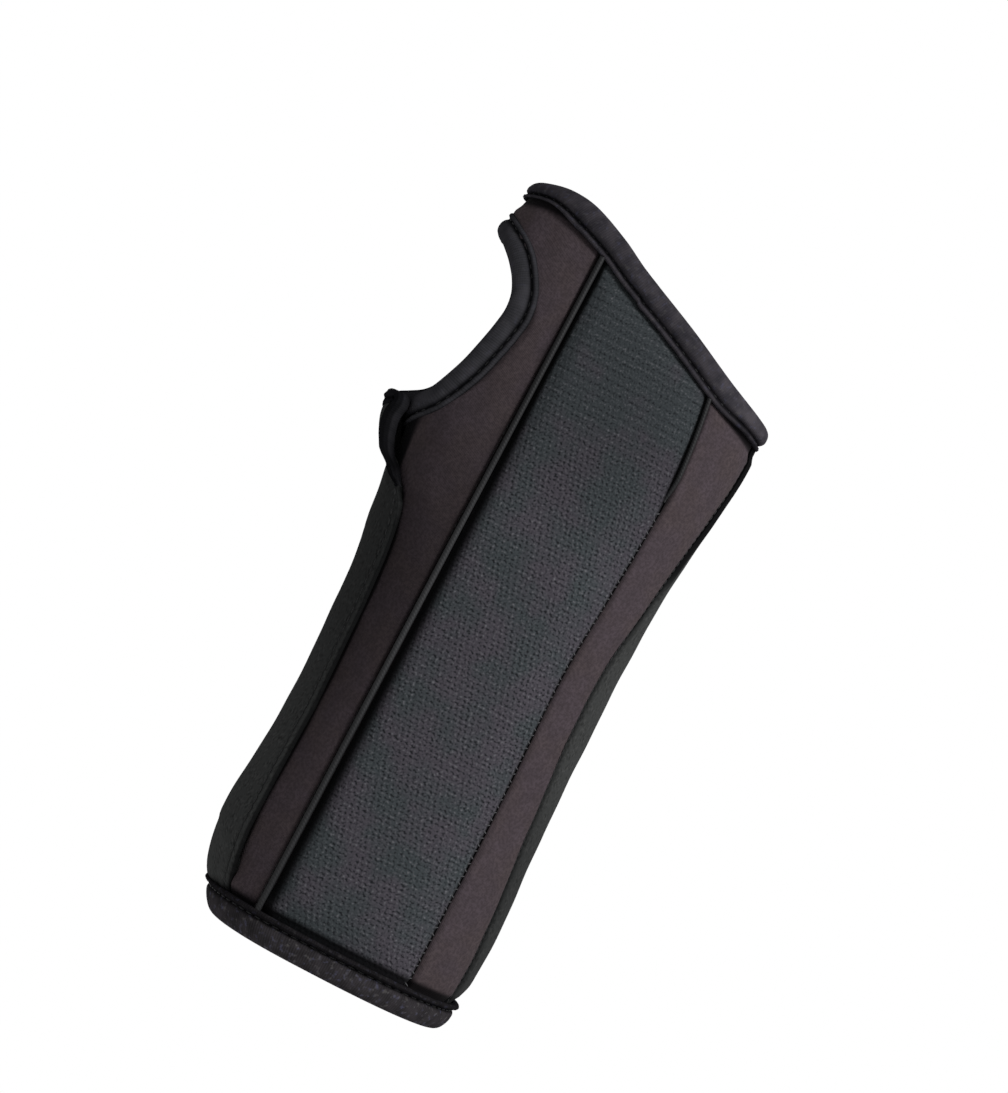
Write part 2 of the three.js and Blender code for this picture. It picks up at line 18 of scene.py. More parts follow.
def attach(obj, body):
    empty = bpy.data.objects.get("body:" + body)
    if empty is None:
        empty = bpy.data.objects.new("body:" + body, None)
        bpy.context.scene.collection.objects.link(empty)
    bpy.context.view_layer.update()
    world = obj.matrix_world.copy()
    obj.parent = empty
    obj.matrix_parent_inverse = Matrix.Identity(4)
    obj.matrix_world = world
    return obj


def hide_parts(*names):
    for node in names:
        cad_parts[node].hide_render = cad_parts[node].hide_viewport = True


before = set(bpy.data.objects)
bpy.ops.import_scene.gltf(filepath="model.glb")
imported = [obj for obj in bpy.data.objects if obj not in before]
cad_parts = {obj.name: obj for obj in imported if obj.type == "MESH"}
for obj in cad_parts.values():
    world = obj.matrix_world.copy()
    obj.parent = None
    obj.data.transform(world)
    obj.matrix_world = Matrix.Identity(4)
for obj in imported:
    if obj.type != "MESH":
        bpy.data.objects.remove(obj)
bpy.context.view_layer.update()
print("pieces of the part:", ", ".join(sorted(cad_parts)))

# %% [markdown]
# ## The sleeve's own shape
# A sleeve is easiest to think of as a stack of level sections. Each section here is a rounded
# box, called a superellipse, with its own reach to the thumb side and to the little-finger side,
# half depth and lean to the back. A short table holds a few sections as shares of the sizes that
# they follow, and a smooth reader fills in the heights between them.
#
# A point on the sleeve is then an angle round it and a height, and a piece of cloth is laid by
# giving every vertex its angle and height. Sculpting the cloth by hand would also work, but then
# seams that should meet would have to be matched by eye.

# %% Sizes of the sleeve
MM = 0.001
FOREARM = 95.5 * MM
HAND = 111 * MM
HAND_HEM_DROP = 30 * MM
BACK_HEM_DROP = 2.5 * MM
FOREARM_WIDTH = 77.5 * MM
WRIST_WIDTH = 74.5 * MM
PALM_WIDTH = 85 * MM
FOREARM_DEPTH = 61 * MM
WRIST_DEPTH = 52.4 * MM
PALM_DEPTH = 41 * MM
PALM_LEAN = 6.4 * MM
ROUNDNESS = 2.4


def section(z, left, right, half, lean):
    return {"z": z, "left": left, "right": right, "half": half, "lean": lean}


def forearm_section(share, left, right, half):
    width, depth = FOREARM_WIDTH, FOREARM_DEPTH
    return section(share * FOREARM, left * width, right * width, half * depth, 0)


def hand_section(share, left, right, half, lean, depth=PALM_DEPTH):
    width = PALM_WIDTH
    return section(share * HAND, left * width, right * width, half * depth, lean * PALM_LEAN)


SECTIONS = [
    forearm_section(-1.03, 0.305, 0.48, 0.482),
    forearm_section(-0.96, 0.358, 0.508, 0.495),
    forearm_section(-0.87, 0.418, 0.53, 0.503),
    forearm_section(-0.73, 0.447, 0.538, 0.502),
    forearm_section(-0.37, 0.44, 0.511, 0.465),
    section(0, 0.479 * WRIST_WIDTH, 0.518 * WRIST_WIDTH, 0.5 * WRIST_DEPTH, 0.03 * PALM_LEAN),
    hand_section(0.17, 0.444, 0.455, 0.485, 0.06, WRIST_DEPTH),
    hand_section(0.26, 0.464, 0.461, 0.472, 0.1, WRIST_DEPTH),
    hand_section(0.41, 0.484, 0.476, 0.585, 0.2),
    hand_section(0.56, 0.49, 0.496, 0.55, 0.41),
    hand_section(0.7, 0.49, 0.501, 0.52, 0.64),
    hand_section(0.84, 0.487, 0.493, 0.478, 1.0),
    hand_section(0.93, 0.481, 0.483, 0.457, 1.22),
    hand_section(1.0, 0.447, 0.468, 0.44, 1.41),
]


def reader(rows, key, column):
    """Smooth value of one column of a table, held at its ends."""
    x = np.array([row[key] for row in rows])
    y = np.array([row[column] for row in rows])
    before = np.maximum(np.arange(len(x)) - 1, 0)
    after = np.minimum(np.arange(len(x)) + 1, len(x) - 1)
    slope = (y[after] - y[before]) / (x[after] - x[before])

    def read(at):
        at = np.clip(at, x[0], x[-1])
        i = np.clip(np.searchsorted(x, at, side="right") - 1, 0, len(x) - 2)
        span = x[i + 1] - x[i]
        t = (at - x[i]) / span
        rise = y[i + 1] - y[i]
        leaving = slope[i] * span - rise
        arriving = rise - slope[i + 1] * span
        return y[i] + rise * t + t * (1 - t) * (leaving * (1 - t) + arriving * t)

    return read


left_at = reader(SECTIONS, "z", "left")
right_at = reader(SECTIONS, "z", "right")
half_at = reader(SECTIONS, "z", "half")
lean_at = reader(SECTIONS, "z", "lean")

print("sections:", len(SECTIONS), "wrist width in mm:", round(float(left_at(0) + right_at(0)) / MM, 1))

# %% A point on the sleeve


def power(value, exponent):
    return np.sign(value) * np.abs(value) ** exponent


def smooth(low, high, value):
    """Rises from 0 at low to 1 at high, with no corners."""
    t = np.clip((value - low) / (high - low), 0, 1)
    return t * t * (3 - 2 * t)


def bell(distance, centre, width):
    """1 at the centre, and close to 0 at twice the width from it."""
    return np.exp(-(((distance - centre) / width) ** 2))


def surface(angle, z):
    """Points of the sleeve and their outward directions. Angle 0 is the palm side."""
    turn = np.radians(angle)
    across = power(np.sin(turn), 2 / ROUNDNESS)
    deep = power(np.cos(turn), 2 / ROUNDNESS)
    reach = np.where(across < 0, left_at(z), right_at(z))
    half = half_at(z)
    point = np.stack([reach * across, lean_at(z) - half * deep, z + 0 * across], axis=-1)
    steep = [power(across, ROUNDNESS - 1) / reach, -power(deep, ROUNDNESS - 1) / half, 0 * across]
    outward = np.stack(steep, axis=-1)
    return point, outward / np.linalg.norm(outward, axis=-1, keepdims=True)


def raised(angle, z, lift):
    point, outward = surface(angle, z)
    return point + outward * np.asarray(lift)[..., None]


def across_of(angle):
    return power(np.sin(np.radians(angle)), 2 / ROUNDNESS)


def angle_of(across):
    return np.degrees(np.arcsin(power(np.clip(across, -1, 1), ROUNDNESS / 2)))


# Steps of equal angle are not steps of equal length on a rounded box. The girth is the length round
# the wrist's section, and cloth that is spaced by girth has even columns.
TURN_ANGLES = np.arange(-200.0, 380.0, 0.25)
turn_points = surface(TURN_ANGLES, np.zeros_like(TURN_ANGLES))[0]
turn_steps = np.linalg.norm(np.diff(turn_points, axis=0), axis=1)
TURN_GIRTHS = np.concatenate([[0], np.cumsum(turn_steps)])


def girth_of(angle):
    return np.interp(angle, TURN_ANGLES, TURN_GIRTHS)


def angle_at(girth):
    return np.interp(girth, TURN_GIRTHS, TURN_ANGLES)


print("girth of the wrist in mm:", round(float(girth_of(180.0) - girth_of(-180.0)) / MM, 1))

# %% [markdown]
# ## Lines for the seams and edges
# Every seam is a height and a reach, and every free edge is a line of angles and heights. The lines
# are drawn once here, and both the panels and the tapes read them, so that cloth and tape meet.

# %% Seams, hems and the thumb hole
CLEARANCE = 0.3 * MM
PANEL_WALL = 2.8 * MM
FLAP_WALL = 2.0 * MM
HEM_WIDTH = 6.5 * MM
HOLE_TAPE = 6.8 * MM
FLAP_TAPE = 4.6 * MM
WELT_LENGTH = 29 * MM
EDGE_INSET = 1.4 * MM
PIPING_OFFSET = 15.2 * MM
PALM_PANEL_WIDTH = 42.6 * MM
HOLE_FOOT = 44 * MM
HOLE_HEIGHT = 49.2 * MM
HOLE_REACH = 45.5
BACK_REACH = 46.5
WEB_ANGLE = -104.0
HIDDEN_FOOT_ANGLE = -90 - 0.24 * HOLE_REACH
HIDDEN_FOOT_HEIGHT = HOLE_FOOT - 0.065 * HOLE_HEIGHT
UNDERLAP = 21.0
LAP_LIFT = 0.8 * MM
LIP_FOOT = 27 * MM
LIP_TOP = 45.2 * MM
LIP_FLARE = 6.2 * MM
LIP_ANGLE = -71.6
LIP_FADE = 17 * MM
GROOVE_SET = 1.5 * MM
FOREARM_TAPE_REACH = HEM_WIDTH + 1.2 * MM
CLOSING_ROW_SET = 1.9 * MM
FULL_TURN = 360.0


def pair_reader(*pairs):
    """Reader of a short table with two named columns: where a value holds, and the value."""
    return reader([{"at": at, "value": value} for at, value in pairs], "at", "value")


closing_share = pair_reader(
    (-1.0 * FOREARM, 0.78),
    (-0.85 * FOREARM, 0.775),
    (-0.5 * FOREARM, 0.785),
    (0, 0.79),
    (0.44 * LIP_FOOT, 0.8),
    (0.74 * LIP_FOOT, 0.838),
    (0.93 * LIP_FOOT, 0.88),
    (1.1 * LIP_FOOT, 0.92),
)

finger_share = pair_reader(
    (-1.0 * FOREARM, 0.965),
    (-0.7 * FOREARM, 0.94),
    (-0.4 * FOREARM, 0.925),
    (0, 0.9),
    (0.25 * HAND, 0.96),
    (0.5 * HAND, 0.993),
    (0.8 * HAND, 0.993),
)

palm_edge_share = pair_reader(
    (-1.0 * FOREARM, 1.0),
    (-0.4 * FOREARM, 0.985),
    (0, 0.96),
    (0.2 * HAND, 0.99),
    (0.45 * HAND, 1.02),
    (0.6 * HAND, 1.0),
    (0.8 * HAND, 0.93),
)

hem_drop_at = pair_reader(
    (-1.0, 0.0),
    (-0.8, -0.015),
    (-0.6, 0.033),
    (-0.31, 0.185),
    (-0.1, 0.335),
    (0.33, 0.605),
    (0.7, 0.85),
    (1.0, 1.0),
)

lip_rise_at = pair_reader(
    (0.0, 0.0),
    (0.06, 0.2),
    (0.12, 0.42),
    (0.18, 0.56),
    (0.4, 0.84),
    (0.65, 1.0),
    (1.0, 0.93),
)

PALM_SIDE_OF_HOLE = [
    (0.0, 0.0), (0.05, 0.29), (0.122, 0.57), (0.286, 0.8), (0.449, 0.92), (0.571, 0.98),
    (0.653, 1.0), (0.735, 0.97), (0.816, 0.87), (0.898, 0.7), (0.962, 0.4), (1.0, 0.0),
]
BACK_SIDE_OF_HOLE = [
    (0.045, 0.26), (0.1, 0.45), (0.19, 0.62), (0.31, 0.8), (0.449, 0.93), (0.571, 0.985),
    (0.653, 1.0), (0.735, 0.97), (0.83, 0.86), (0.92, 0.66), (0.975, 0.42),
]


def piping_angle(z):
    return angle_of(-PIPING_OFFSET / left_at(z))


def closing_angle(z):
    return -angle_of(closing_share(z))


def finger_angle(z):
    return angle_of(finger_share(z))


def palm_edge_angle(z):
    return angle_of((palm_edge_share(z) * PALM_PANEL_WIDTH - PIPING_OFFSET) / right_at(z))


def flap_front_angle(z):
    toward_lip = smooth(0.8 * LIP_FOOT, 1.12 * LIP_FOOT, z)
    return closing_angle(z) + (LIP_ANGLE - closing_angle(z)) * toward_lip


def underlap_angle(z):
    tucked = UNDERLAP * smooth(-0.84 * FOREARM, -0.74 * FOREARM, z)
    toward_hole = smooth(0, 0.95 * HIDDEN_FOOT_HEIGHT, z)
    straight = closing_angle(z) - tucked
    return straight + (HIDDEN_FOOT_ANGLE - straight) * toward_hole


def hand_hem(angle):
    back = 0.5 - 0.5 * np.cos(np.radians(angle))
    return HAND - HAND_HEM_DROP * hem_drop_at(across_of(angle)) - BACK_HEM_DROP * back


print("hand hem in mm, thumb side and little-finger side:",
      [round(float(hand_hem(at)) / MM, 1) for at in (-90.0, 90.0)])

# %% Lines as angles and heights


def smooth_line(stations, count):
    """A smooth line through a few stations, as evenly spaced stations."""
    knots = np.array(stations, float)
    ends = [2 * knots[0] - knots[1], 2 * knots[-1] - knots[-2]]
    knots = np.vstack([ends[:1], knots, ends[1:]])
    dense = []
    for p0, p1, p2, p3 in zip(knots, knots[1:], knots[2:], knots[3:]):
        t1 = np.linalg.norm(p1 - p0) ** 0.5
        t2 = t1 + np.linalg.norm(p2 - p1) ** 0.5
        t3 = t2 + np.linalg.norm(p3 - p2) ** 0.5
        t = np.linspace(t1, t2, 24, endpoint=False)[:, None]
        a1 = (t1 - t) / t1 * p0 + t / t1 * p1
        a2 = (t2 - t) / (t2 - t1) * p1 + (t - t1) / (t2 - t1) * p2
        a3 = (t3 - t) / (t3 - t2) * p2 + (t - t2) / (t3 - t2) * p3
        b1 = (t2 - t) / t2 * a1 + t / t2 * a2
        b2 = (t3 - t) / (t3 - t1) * a2 + (t - t1) / (t3 - t1) * a3
        dense.append((t2 - t) / (t2 - t1) * b1 + (t - t1) / (t2 - t1) * b2)
    dense = np.vstack([*dense, knots[-2:-1]])
    steps = np.linalg.norm(np.diff(dense, axis=0), axis=1)
    along = np.concatenate([[0], np.cumsum(steps)])
    at = np.linspace(0, along[-1], count + 1)
    return np.stack([np.interp(at, along, column) for column in dense.T], axis=-1)


def edgeways(line, loop=False):
    """Change of angle and of height for each metre towards the free edge, on the line's left hand."""
    angle, z = line[:, 0], line[:, 1]
    point, outward = surface(angle, z)
    before = np.vstack([point[-2:-1] if loop else point[:1], point[:-1]])
    after = np.vstack([point[1:], point[1:2] if loop else point[-1:]])
    free = np.cross(outward, after - before)
    free /= np.linalg.norm(free, axis=1, keepdims=True)
    sideways = surface(angle + 0.5, z)[0] - surface(angle - 0.5, z)[0]
    per_degree = np.linalg.norm(sideways, axis=1)
    turned = np.sum(free * sideways, axis=1) / per_degree ** 2
    return np.stack([turned, free[:, 2]], axis=-1)


def inset(line, distance, loop=False):
    return line - distance * edgeways(line, loop)


HEM_STATIONS = 480
hem_angles = np.linspace(-180.0, 180.0, HEM_STATIONS + 1)
hand_hem_line = np.stack([hem_angles, hand_hem(hem_angles)], axis=-1)
forearm_hem_line = np.stack([-hem_angles, np.full_like(hem_angles, -FOREARM)], axis=-1)
HEM_INSET = EDGE_INSET + CLEARANCE
hand_seat = inset(hand_hem_line, HEM_INSET, True)
forearm_seat = inset(forearm_hem_line, HEM_INSET, True)[::-1]


def seat_height(seat, angle):
    """Height of a wall's end at an angle, under the tape."""
    return np.interp(angle, seat[:, 0], seat[:, 1], period=FULL_TURN)


def seam_ends(seam_angle):
    top = HAND
    for _ in range(6):
        top = float(seat_height(hand_seat, seam_angle(top)))
    return float(seat_height(forearm_seat, seam_angle(-FOREARM))), top


def hem_foot(seam_angle):
    """Height at which a seam runs under the hand hem's tape."""
    foot = inset(hand_hem_line, HEM_WIDTH, True)
    height = HAND
    for _ in range(6):
        height = float(seat_height(foot, seam_angle(height)))
    return height


welt_top = hem_foot(palm_edge_angle)
welt_foot = welt_top - WELT_LENGTH


def on_hole(reach_degrees, pairs, sign):
    return [(-90 + sign * reach * reach_degrees, HOLE_FOOT + rise * HOLE_HEIGHT) for rise, reach in pairs]


DEGREE_LENGTH = 0.66 * MM
WEB_SEAM_HEIGHT = HOLE_FOOT + 0.985 * HOLE_HEIGHT
HOLE_STATIONS = 190


def spaced_line(stations, count):
    """A smooth line whose angles are weighed as lengths while it is spaced."""
    weighed = [(angle * DEGREE_LENGTH, z) for angle, z in stations]
    return smooth_line(weighed, count) / np.array([DEGREE_LENGTH, 1.0])


thumb_hole_line = spaced_line([
    (HIDDEN_FOOT_ANGLE, HIDDEN_FOOT_HEIGHT),
    ((HIDDEN_FOOT_ANGLE - 90) / 2, (HIDDEN_FOOT_HEIGHT + HOLE_FOOT) / 2),
    *on_hole(HOLE_REACH, PALM_SIDE_OF_HOLE, 1),
    (WEB_ANGLE, WEB_SEAM_HEIGHT),
], HOLE_STATIONS)

LIP_HEIGHT = LIP_TOP - LIP_FOOT
LIP_FRONT = FULL_TURN + LIP_ANGLE
TAPE_TAIL = LIP_FOOT - 3.5 * MM
flap_edge_line = spaced_line([
    (FULL_TURN + float(flap_front_angle(TAPE_TAIL)), TAPE_TAIL),
    (FULL_TURN + float(flap_front_angle(LIP_FOOT)), LIP_FOOT),
    (LIP_FRONT - 2.2, LIP_FOOT + 0.18 * LIP_HEIGHT),
    (LIP_FRONT - 3.0, LIP_FOOT + 0.4 * LIP_HEIGHT),
    (LIP_FRONT - 2.2, LIP_FOOT + 0.64 * LIP_HEIGHT),
    (LIP_FRONT + 0.4, LIP_FOOT + 0.84 * LIP_HEIGHT),
    (LIP_FRONT - 1.5, LIP_FOOT + 0.96 * LIP_HEIGHT),
    (LIP_FRONT - 9, LIP_FOOT + 0.99 * LIP_HEIGHT),
    (FULL_TURN - 94, LIP_FOOT + 0.97 * LIP_HEIGHT),
    *[(angle + FULL_TURN, z) for angle, z in on_hole(BACK_REACH, BACK_SIDE_OF_HOLE, -1)],
    (FULL_TURN + WEB_ANGLE - 0.4, WEB_SEAM_HEIGHT),
], HOLE_STATIONS)[::-1]

print("line round the hole starts at", np.round(thumb_hole_line[0], 3), "and the flap's edge ends at",
      np.round(flap_edge_line[-1], 3))

# %% [markdown]
# ## How far each layer stands off the sleeve
# Where the flap lies on the thumb-side panel, the flap rises a little and the panel under it sinks.
# The flap's top corner stands off like a lip, and the flap is fuller just above the forearm hem.

# %% Lifts


def above_hem(z):
    return smooth(-0.9 * FOREARM, -0.85 * FOREARM, z)


def flap_lift(angle, z):
    turned = np.where(angle > 30, angle - FULL_TURN, angle)
    lap_end = underlap_angle(z)
    below_hole = 1 - smooth(LIP_TOP, LIP_TOP + 8 * MM, z)
    lapped = smooth(lap_end - 14, lap_end - 6, turned) * below_hole
    lapped = lapped * smooth(-0.96 * FOREARM, -0.92 * FOREARM, z)
    over_hem = smooth(0.42 * FOREARM, 0.8 * FOREARM, -z) * (1 - smooth(0.9 * FOREARM, 0.97 * FOREARM, -z))
    padded_base = 1.3 * MM * over_hem * smooth(48, 68, -turned) * (1 - smooth(110, 130, -turned))
    beside_seam = smooth(58, 76, angle) * (1 - smooth(100, 145, angle))
    shoulder_height = 0.7 * MM + 0.5 * MM * smooth(36 * MM, 58 * MM, z) * (1 - smooth(76 * MM, 84 * MM, z))
    shoulder = shoulder_height * beside_seam * above_hem(z) * (1 - smooth(74 * MM, 84 * MM, z))
    up = (z - LIP_FOOT) / LIP_HEIGHT
    behind = surface(turned, z)[0][..., 1] - lean_at(z)
    curl = np.where(behind < 0, 1 - 0.3 * smooth(0, 12 * MM, -behind), 1 - smooth(0, LIP_FADE, behind))
    settled = 1 - smooth(LIP_TOP, LIP_TOP + 14 * MM, z)
    flare = np.where(np.abs(turned + 90) < 90, LIP_FLARE * lip_rise_at(up) * curl * settled, 0)
    return LAP_LIFT * lapped + padded_base + shoulder + flare


def thumb_panel_lift(angle, z):
    sunk = FLAP_WALL + CLEARANCE - LAP_LIFT
    edge = flap_front_angle(z)
    under = smooth(-edge - 24, -edge - 2, -angle)
    below_lip = 1 - smooth(LIP_FOOT - 2 * MM, LIP_FOOT + 18 * MM, z)
    return -sunk * under * below_lip * above_hem(z)


def flat_lift(angle, z):
    return 0 * angle


print("lip stands off by mm:", round(float(flap_lift(np.array(-80.0), np.array(0.038))) / MM, 2))

# %% [markdown]
# ## Cutting and laying cloth
# Real panels are cut flat and then bent to the sleeve. The same is done here: a grid primitive is
# the flat cut, and each of its vertices is then laid on the sleeve. Its UV map is in metres, so a
# knit keeps its true size and follows the cloth wherever it bends. A Solidify modifier gives the
# wall its thickness, and is applied, because the thickness is part of the shape.


def lengths(points, axis):
    """Length along the cloth from its first row or column."""
    steps = np.linalg.norm(np.diff(points, axis=axis), axis=-1)
    start = np.zeros_like(np.take(steps, [0], axis=axis))
    return np.concatenate([start, np.cumsum(steps, axis=axis)], axis=axis)


def lay_cloth(name, points, tone, level=False, from_far_side=False):
    """Cuts a flat grid and lays its vertices at the points, an array of rows and columns.

    The tone goes with each point as painted shade, with the seams' dark joints in it: 1 in open cloth, down
    to 0 deep in a seam."""
    rows, columns = points.shape[0] - 1, points.shape[1] - 1
    bpy.ops.object.select_all(action="DESELECT")
    bpy.ops.mesh.primitive_grid_add(x_subdivisions=columns, y_subdivisions=rows, size=1)
    cloth = bpy.context.object
    cloth.name = cloth.data.name = name
    flat = np.empty(len(cloth.data.vertices) * 3)
    cloth.data.vertices.foreach_get("co", flat)
    flat = flat.reshape(-1, 3) + 0.5
    column = np.rint(flat[:, 0] * columns).astype(int)
    row = np.rint(flat[:, 1] * rows).astype(int)
    cloth.data.vertices.foreach_set("co", points[row, column].ravel())
    # Painted shade: this attribute darkens the colour in seams, hollows and creases, and also holds the
    # seams' dark joints.
    seams_and_painted_shade = cloth.data.attributes.new("seams_and_painted_shade", "FLOAT", "POINT")
    seams_and_painted_shade.data.foreach_set("value", (tone + 0 * points[..., 0])[row, column])
    u = lengths(points, 1)
    u = u - u[:, -1:] if from_far_side else u
    v = points[..., 2] if level else lengths(points, 0)[:, columns // 2, None] + 0 * u
    corner = np.empty(len(cloth.data.loops), int)
    cloth.data.loops.foreach_get("vertex_index", corner)
    row, column = row[corner], column[corner]
    uv = np.stack([u[row, column], v[row, column]], axis=-1)
    cloth.data.uv_layers[0].data.foreach_set("uv", uv.ravel())
    cloth.data.update()
    return cloth


def close_loop(cloth):
    """Joins the two ends of a band that runs all the way round."""
    bpy.ops.object.mode_set(mode="EDIT")
    bpy.ops.mesh.select_all(action="SELECT")
    bpy.ops.mesh.remove_doubles(threshold=1e-6)
    bpy.ops.object.mode_set(mode="OBJECT")
    return cloth


def thicken(cloth, wall, smooth_degrees=40):
    """Gives the cloth its wall, inwards from the laid face."""
    solid = cloth.modifiers.new("wall", "SOLIDIFY")
    solid.thickness = wall
    solid.offset = -1
    bpy.ops.object.modifier_apply(modifier=solid.name)
    bpy.ops.object.shade_smooth_by_angle(angle=math.radians(smooth_degrees))
    return cloth


def declare_cloth(cloth, node):
    """Hangs the piece on the root, and hides the part's piece that it stands for."""
    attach(cloth, "root")
    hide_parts(node)


# %% Filling in a panel


def spread(count, crowding=0.7):
    """Shares from 0 to 1, closer together near both ends, where the seams are."""
    t = np.linspace(0, 1, count + 1)
    return t - crowding * np.sin(2 * np.pi * t) / (2 * np.pi)


def patch(lower, higher, bottom, top, s, v):
    """Fills in a panel from its four sides, each a list of girths and heights."""
    s, v = s[None, :, None], v[:, None, None]
    sides = (1 - s) * lower[:, None] + s * higher[:, None]
    ends = (1 - v) * bottom[None] + v * top[None]
    first = (1 - s) * lower[0] + s * higher[0]
    last = (1 - s) * lower[-1] + s * higher[-1]
    return sides + ends - (1 - v) * first - v * last


def panel_points(grid, lift, edges):
    """Lays a filled-in panel, then rolls its edges by what its distances from them ask for."""
    angle, z = angle_at(grid[..., 0]), grid[..., 1]
    stand = lift(angle, z)
    points = raised(angle, z, stand)
    along_row, along_column = lengths(points, 1), lengths(points, 0)
    far_row = along_row[:, -1:] - along_row
    far_column = along_column[-1:] - along_column
    relief, tone = edges(angle, z, along_row, far_row, along_column, far_column)
    return raised(angle, z, stand + relief), np.clip(tone, 0, 1)


def end_line(seat, start, end, s):
    girth = girth_of(start) + (girth_of(end) - girth_of(start)) * s
    return np.stack([girth, seat_height(seat, angle_at(girth))], axis=-1)


def seam_line(seam_angle, sideways, heights):
    """A seam's girths and heights, moved sideways along the surface."""
    angle = seam_angle(heights)
    one_degree = raised(angle + 0.5, heights, 0 * angle) - raised(angle - 0.5, heights, 0 * angle)
    per_degree = np.linalg.norm(one_degree, axis=-1)
    return np.stack([girth_of(angle + sideways / per_degree), heights], axis=-1)


def fill_between(lower, higher, s, v):
    """Fills in a panel from its two side lines. Its ends lie under the tapes of the two hems."""
    bottom = end_line(forearm_seat, angle_at(lower[0, 0]), angle_at(higher[0, 0]), s)
    top = end_line(hand_seat, angle_at(lower[-1, 0]), angle_at(higher[-1, 0]), s)
    return patch(lower, higher, bottom, top, s, v)


def side_panel(low_seam, low_gap, high_seam, high_gap, columns, rows):
    s, v = spread(columns), spread(rows)
    low_bottom, low_top = seam_ends(low_seam)
    high_bottom, high_top = seam_ends(high_seam)
    lower = seam_line(low_seam, low_gap, low_bottom + (low_top - low_bottom) * v)
    higher = seam_line(high_seam, -high_gap, high_bottom + (high_top - high_bottom) * v)
    return fill_between(lower, higher, s, v)


def sew_panel(name, node, grid, lift, edges, wall, from_far_side=False):
    laid = panel_points(grid, lift, edges)
    cloth = lay_cloth(name, *laid, level=True, from_far_side=from_far_side)
    thicken(cloth, wall)
    declare_cloth(cloth, node)
    return cloth


print("columns of a panel are spread by shares such as", np.round(spread(6), 2))

# %% Edges and their tones of painted shade


def under_tape(distance, width=HEM_WIDTH, depth=0.75 * MM):
    """Cloth is pressed down where a tape is sewn over it."""
    return -depth * (1 - smooth(width - 1.2 * MM, width + 1.4 * MM, distance))


def under_hems(from_forearm, from_hand):
    return under_tape(from_hand) + under_tape(from_forearm, FOREARM_TAPE_REACH)


def beside_the_welt(z):
    return smooth(welt_foot - 6 * MM, welt_foot + 4 * MM, z)


def groove(distance, centre, width, depth):
    return -depth * bell(distance, centre, width)


def dark_line(distance, centre, width, depth=0.85):
    """Tone of a narrow shaded line along a seam."""
    return 1 - depth * bell(distance, centre, width)


def hem_shade(from_forearm, from_hand):
    """Painted shade on the cloth where it goes in under the hems."""
    forearm = smooth(FOREARM_TAPE_REACH, HEM_WIDTH + 2.6 * MM, from_forearm)
    hand = smooth(HEM_WIDTH - 1.6 * MM, HEM_WIDTH - 0.3 * MM, from_hand)
    return (0.1 + 0.9 * forearm) * (0.1 + 0.9 * hand)


def ripple(angle, z, height, seed):
    """Slow waves of worn cloth, a few tenths of a millimetre high."""
    a = np.radians(angle)
    waves = np.sin(7 * a + 90 * z + seed) * np.sin(150 * z - 3 * a + 2 * seed)
    waves = waves + 0.5 * np.sin(13 * a - 210 * z + 3 * seed) * np.sin(260 * z + 5 * a)
    return height * waves


print("a hem's tape presses the cloth down by mm:", round(float(-under_tape(0.0)) / MM, 2))

# %% [markdown]
# The tapes are fuller in some places than in others: the hand hem's is narrower at both its sides,
# and the flap's ends in a thin tail on the closing edge and is narrower round its corner.

# %% Fullness of the tapes
hem_across = across_of(hand_hem_line[:, 0])
hand_fullness = 1 - 0.3 * smooth(0.55, 0.95, -hem_across) - 0.2 * smooth(0.7, 0.95, hem_across)
from_tail = lengths(raised(*flap_edge_line.T, 0 * flap_edge_line[:, 0])[::-1][:, None], 0)[::-1, 0]
CORNER_AT = 22 * MM
flap_corner = bell(from_tail, CORNER_AT, 7 * MM)
flap_fullness = 0.2 + 0.8 * smooth(0, 13 * MM, from_tail) - 0.4 * flap_corner
flap_tape_fullness = flap_fullness - 0.5 * (1 - smooth(0, 2.2 * MM, from_tail.max() - from_tail))

print("hand tape fullness", np.round([hand_fullness.min(), hand_fullness.max()], 2))

# %% [markdown]
# ## The palm panel
# The long panel is a thick, firm knit. On the real brace it stands proud of the cloth beside it,
# and its thumb-side edge rolls down steeply to the piping, which is the darkest line on the whole
# brace; that darkness is painted shade. Its other edge is joined flat, with a line of stitches.

# %% Lay the palm panel
PIPING_GAP = 0.6 * MM
SEAM_GAP = CLEARANCE / 2


def palm_edges(angle, z, from_piping, from_edge, from_forearm, from_hand):
    in_the_open = smooth(7 * MM, 15 * MM, from_forearm) * smooth(6 * MM, 13 * MM, from_hand)
    crown = 0.9 * MM * smooth(1.2 * MM, 6 * MM, from_piping) * smooth(2 * MM, 10 * MM, from_edge)
    narrow = smooth(25 * MM, 70 * MM, z)
    roll = -1.9 * MM * bell(from_piping, 0, (1.9 - 0.8 * narrow) * MM)
    beside_welt = beside_the_welt(z)
    seam = groove(from_edge, 0, (0.7 + 0.7 * beside_welt) * MM, (0.7 + 0.5 * beside_welt) * MM)
    taped = under_hems(from_forearm, from_hand)
    relief = crown * in_the_open + roll * (0.35 + 0.65 * in_the_open) + seam + taped
    # Painted shade: the edge that rolls down to the piping goes nearly black, and the panel is darker
    # towards its top. The far seam's dark line is partly dark joint and partly painted shade.
    valley = 0.05 + 0.95 * smooth((1.2 - 0.5 * narrow) * MM, (4.4 - 2.6 * narrow) * MM, from_piping)
    line = dark_line(from_edge, 0, (0.45 + 0.75 * beside_welt) * MM)
    tone = valley * line * (1 - 0.25 * smooth(25 * MM, 60 * MM, z)) * hem_shade(from_forearm, from_hand)
    return relief + ripple(angle, z, 0.12 * MM, 1.0), tone


palm_grid = side_panel(piping_angle, PIPING_GAP, palm_edge_angle, SEAM_GAP, 104, 280)
palm_cloth = sew_panel("palm_panel_knit", "palm_panel", palm_grid,
                       flat_lift, palm_edges, PANEL_WALL - CLEARANCE)

# %% [markdown]
# ## The little-finger side
# A narrow panel of smooth cloth carries the sleeve round to the back.

# %% Lay the little-finger side panel


